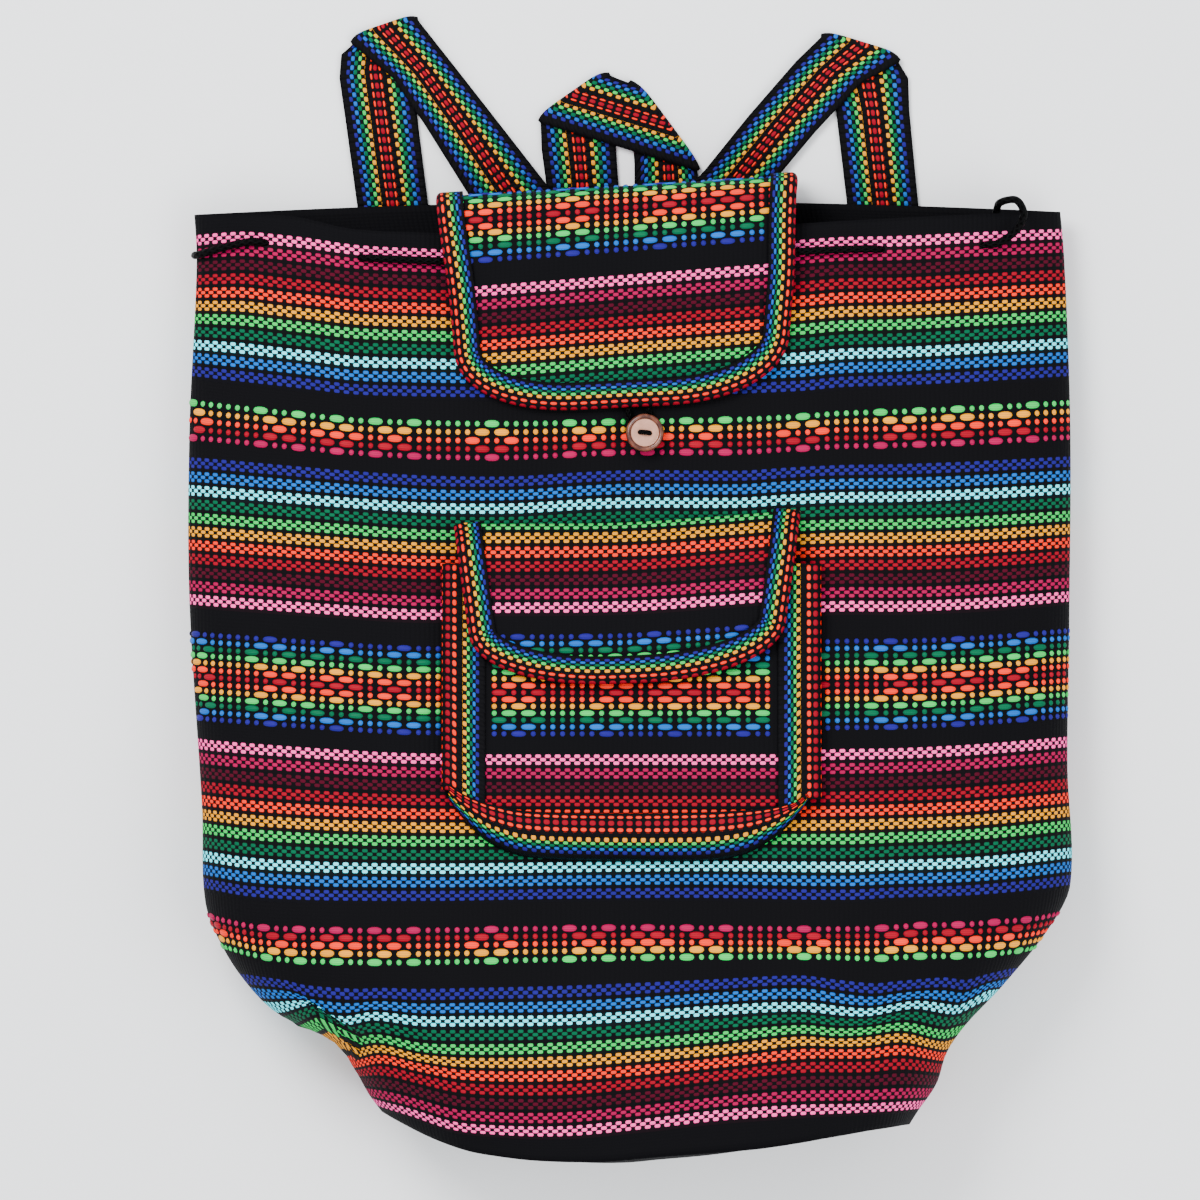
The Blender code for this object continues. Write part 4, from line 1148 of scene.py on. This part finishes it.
def pocketFlapSurface(x, down):
    # its rows rise to the right of its middle
    reach = pocketFlap["liftReach"]
    y = pocketFlap["topY"] - down + pocketFlap["lift"] * (x + np.sqrt(x**2 + reach**2) - reach)
    root = pocketFlap["topY"] - pocket["topY"]
    lie, over = pocketFlap["lie"] + foldThick, pocketFlap["over"] + pocket["rise"] + foldThick
    high = mix(lie, over, ease(0.0, 0.75 * root, down))
    place = x + pocketFlap["x"]
    return stack(place, y, frontHeight(place, y) + high + pocketBulge(place, y))


makeFlap(
    "pocketFlap", "pocket_flap", pocketFlap, pocketFlapSurface,
    0.5 * mm, 40, 44,
)
print("stage: flaps and pocket")


# Webbing ribbons

ribbon = {"low": 0.8 * mm, "high": 2.7 * mm, "step": 1.5 * mm}


def crease(one, other, away, lowFirst, bow):
    # the fold's two ends are rounded: they draw back by the bow
    start, end = np.array([*one, 0]) * mm, np.array([*other, 0]) * mm
    out = unit(np.array([*away, 0.0]))
    radius = (ribbon["high"] - ribbon["low"]) / 2
    stations = []
    for k in range(9):
        angle = pi * (k / 8 if lowFirst else 1 - k / 8)
        move = out * (radius * math.sin(angle) - radius + 1.2 * mm)
        move[2] = ribbon["low"] + radius * (1 - math.cos(angle))
        stations.append((start + move, end + move, out * bow[0] * mm, out * bow[1] * mm))
    return stations


def flatRun(pairs, height):
    rise = np.array([0, 0, height])
    return [(np.array([*one, 0]) * mm + rise, np.array([*other, 0]) * mm + rise, 0 * rise, 0 * rise)
            for one, other in pairs]


def makeRibbon(name, stations, node):
    edges = np.array(stations)
    place = travelled(edges[:, :2].mean(axis=1))
    fine = [0.0]
    for before, after in zip(place, place[1:]):
        count = max(1, round((after - before) / ribbon["step"]))
        fine += [mix(before, after, (k + 1) / count) for k in range(count)]
    one, other, bowOne, bowOther = (between(fine, place, edges[:, k])[:, None] for k in range(4))
    fields = np.linspace(0, 17, 35)
    share = np.interp(fields, np.arange(18), np.cumsum([0.0] + webbing["widths"]) / sum(webbing["widths"]))
    points = mix(one, other, share[None, :, None])
    points = points - bowOne * (np.clip(1 - 2 * share, 0, 1) ** 6)[None, :, None]
    points = points - bowOther * (np.clip(2 * share - 1, 0, 1) ** 6)[None, :, None]
    along = travelled(points)
    mesh = gridMesh(name, points, fields[None, :] + 0 * along, along / webbing["period"])
    piece = addPiece(name, mesh, webbingLook, [node], webbing["thickness"])


def leg(edge, end, bend, top):
    return [((x, y), (x + 30, y)) for x, y in zip(edge, (end, bend, top))]


low, high = ribbon["low"], ribbon["high"]
leftStrap = flatRun(leg((-107, -112, -114.5), -170, -40, 200), low)
leftStrap += flatRun(
    [((-120.0, 240), (-90.0, 244)), ((-122.6, 258), (-92.6, 266)), ((-121.8, 268), (-91.5, 275))], low,
)
leftStrap += crease((-117.8, 274.2), (-89.8, 283.8), (-0.33, 0.94), True, (2.4, 1.8))
leftStrap += flatRun(
    [((-100, 258), (-74, 263)), ((-87, 239), (-56, 240)), ((-68, 208.7), (-35.3, 213.4)), ((-52, 184), (-21, 194))],
    high,
)
makeRibbon("leftStrap", leftStrap, "strap_left")
rightStrap = flatRun(leg((80, 87, 92.2), -170, -40, 200), low) + flatRun([((87, 244), (118, 244))], low)
rightStrap += flatRun([((82, 262), (117.5, 258))], low)
rightStrap += crease((81.0, 276.7), (114.2, 266.6), (0.3, 0.95), True, (1.8, 2.4))
rightStrap += flatRun(
    [((70, 265), (97.5, 256)), ((50, 242), (78, 235)), ((31.6, 219.2), (62, 215.9)), ((13, 199), (43, 190))], high,
)
makeRibbon("rightStrap", rightStrap, "strap_right")
haulLoop = flatRun([((-35.3, 180), (-5, 180)), ((-35.3, 213), (-4.8, 213)), ((-37.3, 228), (-6, 232))], low)
haulLoop += crease((-38.6, 240.4), (-9.4, 260.8), (-0.57, 0.82), True, (1.8, 2.4))
haulLoop += crease((29.2, 219.4), (1.0, 257.4), (0.81, 0.59), False, (1.2, 2.4))
haulLoop += flatRun([((31.4, 204), (1.9, 222)), ((31.9, 180), (1.9, 180))], low)
makeRibbon("haulLoop", haulLoop, "haul_loop")
print("stage: webbing")


# Cords

cord = {
    "radius": 1.6 * mm,
    "sides": 12,
    "row": 13.0 * mm,
    "out": 2.5 * mm,
    "in": 4.0 * mm,
    "slot": 5.4 * mm,
    "holes": [0.80, 0.57, 0.30, 0.05, -0.17, -0.39, -0.61, -0.825],  # shares of the bag's half width
    "backTurns": [-0.7, -0.55, -0.4, -0.2, 0.0, 0.2, 0.4, 0.55],
    "knot": (141 * mm, 160 * mm, 14 * mm),
    "fromKnot": [(7, 9.5, 1.5), (8.5, 19, 4)],  # moves in mm, from the knot, from the rim and to the knot
    "overRim": [(-6, 3, -5.5), (-4, 6, 4.5), (2, 6.5, 8), (5, 1, 7.5), (2, -6, 5.5)],
    "toKnot": [(-17, 17, -1.5), (-9, 9, 0)],
    "knotRadius": 1.7 * mm,
    "knotSize": 2.3 * mm,
}


def rounded(points, closed, step=0.8 * mm):
    # a smooth curve through the points, at even steps
    points = np.array(points, float)
    if closed:
        points = np.concatenate([points[-2:], points, points[:3]])
    place = travelled(points)
    first, last = (place[2], place[-3]) if closed else (0.0, place[-1])
    fine = np.linspace(first, last, max(8, round((last - first) / step)) + 1)
    return np.stack([smooth(np.stack([place, points[:, c]], axis=-1), fine) for c in range(3)], axis=-1)


def makeTube(name, node, points, radius, closed=False):
    # both ends have caps, and those of a closed one meet
    sides = cord["sides"]
    centre = rounded(points, closed)
    ahead = unit(np.gradient(centre, axis=0))
    side = [unit(np.cross(ahead[0], [0.3, 0.2, 1.0]))]
    for k in range(1, len(centre)):
        side.append(unit(side[-1] - ahead[k] * np.dot(side[-1], ahead[k])))
    side = np.array(side)
    other = np.cross(ahead, side)
    angles = np.arange(sides) / sides * 2 * pi
    ring = side[:, None] * np.cos(angles)[None, :, None] + other[:, None] * np.sin(angles)[None, :, None]
    across = np.repeat((np.arange(sides) / sides * 4)[None, :], len(centre), axis=0)
    along = travelled(centre) / (1.15 * pi * radius) * 1.6
    mesh = gridMesh(name, centre[:, None] + radius * ring, across, along, closing=across[:, 0] + 4)
    editable = bmesh.new()
    editable.from_mesh(mesh)
    editable.verts.ensure_lookup_table()
    editable.faces.new(editable.verts[:sides][::-1])
    editable.faces.new(editable.verts[-sides:])
    bmesh.ops.recalc_face_normals(editable, faces=editable.faces)
    editable.to_mesh(mesh)
    editable.free()
    addPiece(name, mesh, cordLook, [node])


def turnAt(x, down):
    low, high = -1.0, 1.0
    for k in range(40):
        middle = (low + high) / 2
        if frontPoint(middle, down)[0] < x:
            low = middle
        else:
            high = middle
    return (low + high) / 2


def overFront(x, rise):
    # on the left it climbs from its row to the first hole
    side = x / bag["half"]
    row = cord["row"] + (3.4 * float(ease(-0.86, -0.98, side)) - 1.6 * float(hump(side, -0.82, 0.09))) * mm
    turn = turnAt(x, row)
    return frontPoint(turn, row) + normals(frontPoint, turn, row, side=0.004) * rise


def backTurn(x, down):
    left, right = edges(down)
    return math.asin(max(-1.0, min(1.0, (2 * x - left - right) / (right - left)))) / (pi / 2)


def overBack(x, rise):
    down = cord["row"]
    turn = backTurn(x, down)
    return backPoint(turn, down) - normals(backPoint, turn, down, side=0.004) * rise


def through(over, x, step, before, after):
    # the cord's way through a hole, from one side of the cloth to the other
    return [over(x + place * step, mix(before, after, float(ease(-1.0, 1.0, place))))
            for place in (-1.0, -0.5, 0.0, 0.5, 1.0)]


def moved(start, moves):
    return [start + np.array(move) * mm for move in moves]


def drawstringPoints():
    half, holes, knot = bag["half"], cord["holes"], np.array(cord["knot"])
    rim = overFront(holes[0] * half + 12 * mm, 0)
    rim[1] = bag["rimY"]
    points = moved(knot, cord["fromKnot"]) + moved(rim, cord["overRim"])
    before, after = cord["out"], -cord["in"]
    for k, share in enumerate(holes):
        points += through(overFront, share * half, -cord["slot"], before, after)
        before, after = after, before
        if k + 1 < len(holes):
            points.append(overFront((share + holes[k + 1]) / 2 * half, before))
    left = overFront(-0.97 * half, cord["out"])
    side = float(edges(cord["row"])[0])
    points += [overFront(-0.91 * half, cord["out"]), left]
    points.append(np.array([side - 0.5 * mm, left[1], 13.5 * mm]))
    points.append(np.array([side - 0.1 * mm, left[1], 9 * mm]))
    points += through(overBack, -0.86 * half, cord["slot"], cord["out"] - 0.4 * mm, -cord["in"])
    points += [overBack(share * half, -cord["in"] - 0.6 * mm) for share in cord["backTurns"]]
    return points + moved(knot, cord["toKnot"])


makeTube("drawstring", "drawstring", drawstringPoints(), cord["radius"])
knotTurns = np.arange(26) / 26 * 2 * pi
knotPoints = np.array(cord["knot"]) + cord["knotSize"] * np.stack([
    np.sin(knotTurns) + 2 * np.sin(2 * knotTurns),
    np.cos(knotTurns) - 2 * np.cos(2 * knotTurns),
    -0.95 * np.sin(3 * knotTurns),
], axis=-1)
makeTube("drawstringKnot", "drawstring_knot", knotPoints, cord["knotRadius"], closed=True)

# The button, its thread and its loop

button = {
    "radius": 8 * mm,
    "height": 3.6 * mm,
    "x": 6.3 * mm,
    "y": 107.3 * mm,
    "shank": 3.3 * mm,
    "thread": 1.05 * mm,
    "loop": 1.2 * mm,
}


def buttonSeat():
    x, y = button["x"], button["y"]
    step = 2 * mm
    slopeX = (frontZ(x + step, y) - frontZ(x - step, y)) / (2 * step)
    slopeY = (frontZ(x, y + step) - frontZ(x, y - step)) / (2 * step)
    normal = Vector((-slopeX, -slopeY, 1)).normalized()
    return Vector((x, y, frontZ(x, y))) + normal * 0.6 * mm, normal


def buttonMaterial():
    made, tree, shader = newMaterial("buttonShell", 0.25, 0.3)
    shader.inputs["Coat Weight"].default_value = 0.25
    shader.inputs["Coat Roughness"].default_value = 0.1
    radius, spare = attribute(tree, "radius")
    split = tree.nodes.new("ShaderNodeSeparateColor")
    tree.links.new(radius.socket, split.inputs[0])
    away = Value(tree, split.outputs[0])
    texture = grain(tree, 330.0, 3.0)
    face = texture.mixed((0.52, 0.27, 0.19), (0.30, 0.14, 0.09))
    # the rim is coloured a darker brown than the face; its paler streaks, mixed in by the grain noise, are painted
    # highlights on the glossy rim
    rim = ((texture - 0.4) * 3).limited().mixed((0.045, 0.010, 0.005), (0.20, 0.060, 0.030))
    shown = ((away - 0.71) * 30).limited().mixed(face, rim)
    finishMaterial(tree, shader, shown, texture, 0.05 * mm, 0.3)
    return made


def makeButton():
    r, h = button["radius"], button["height"]
    profile = [
        (0.4 * r, 0.0), (0.75 * r, 0.1 * h), (0.96 * r, 0.36 * h), (r, 0.6 * h), (0.985 * r, 0.76 * h),
        (0.94 * r, 0.9 * h), (0.87 * r, h), (0.80 * r, 0.97 * h), (0.755 * r, 0.86 * h), (0.73 * r, 0.74 * h),
        (0.715 * r, 0.70 * h), (0.69 * r, 0.71 * h), (0.5 * r, 0.69 * h), (0.25 * r, 0.67 * h),
    ]
    bpy.ops.object.select_all(action="DESELECT")
    bpy.ops.mesh.primitive_circle_add(vertices=48, radius=profile[0][0], fill_type="NGON")
    made = bpy.context.object
    made.name = "button"
    bpy.ops.object.mode_set(mode="EDIT")
    bpy.ops.mesh.select_all(action="SELECT")
    for before, after in zip(profile, profile[1:]):
        scale = after[0] / before[0]
        bpy.ops.mesh.extrude_region_move(TRANSFORM_OT_translate={"value": (0, 0, after[1] - before[1])})
        bpy.ops.transform.resize(value=(scale, scale, 1), center_override=(0, 0, after[1]))
    bpy.ops.mesh.select_all(action="SELECT")
    bpy.ops.mesh.normals_make_consistent(inside=False)
    bpy.ops.object.mode_set(mode="OBJECT")
    seat, normal = buttonSeat()
    turned = Matrix.Translation(seat + normal * button["shank"]) @ normal.to_track_quat("Z", "Y").to_matrix().to_4x4()
    radii = np.array([math.hypot(v.co.x, v.co.y) / r if v.co.z > 0.3 * h else 1.0 for v in made.data.vertices])
    colours = np.stack([radii, radii, radii, np.ones(len(radii))], axis=-1)
    fill(made.data.attributes.new("radius", "FLOAT_COLOR", "POINT"), "color", colours)
    made.data.transform(turned)
    made.data.materials.append(buttonMaterial())
    made.data.shade_smooth()
    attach(made, "root")
    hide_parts("button")
    across = Vector((1, -0.1, 0))
    across = (across - normal * across.dot(normal)).normalized()
    half, face = 2.1 * mm, button["shank"] + 0.66 * h
    rising = [(half, 0.3 * mm), (half, button["shank"]), (half, face - 0.2 * mm), (0.8 * half, face + 0.9 * mm),
              (0.3 * half, face + 1.25 * mm)]
    route = [(-x, z) for x, z in rising] + rising[::-1]
    points = [tuple(seat + across * x + normal * z) for x, z in route]
    makeTube("buttonThread", "button_thread", points, button["thread"])


makeButton()


def makeButtonLoop():
    lie, startY = 2.1 * mm, topFlap["endY"] - 0.6 * mm
    reach = 4.3 * mm
    x, y = button["x"], button["y"]
    flat = []
    for k in range(9):
        angle = math.radians(25 - 230 * k / 8)
        flat.append((x + reach * math.cos(angle), y + reach * math.sin(angle), lie))
    start = [(x + 1 * mm, startY, 1.8 * lie), (x + 3 * mm, startY - 4 * mm, lie)]
    end = [(x - 6.2 * mm, y + 5 * mm, lie), (x - 7 * mm, startY, 1.8 * lie)]
    points = [(a, b, frontZ(a, b) + c) for a, b, c in [*start, *flat, *end]]
    makeTube("buttonLoop", "button_loop", points, button["loop"])


makeButtonLoop()
print("stage: cords and button")

# Pale floor


def makeFloor():
    made, tree, shader = newMaterial("paleFloor", 0.9)
    shader.inputs["Base Color"].default_value = (0.86, 0.87, 0.88, 1.0)
    bpy.ops.mesh.primitive_plane_add(size=6)
    floor = bpy.context.object
    floor.name = "floor"
    floor.location = (0, 0, -0.4 * mm)
    floor.data.materials.append(made)


makeFloor()
print("stage: floor")
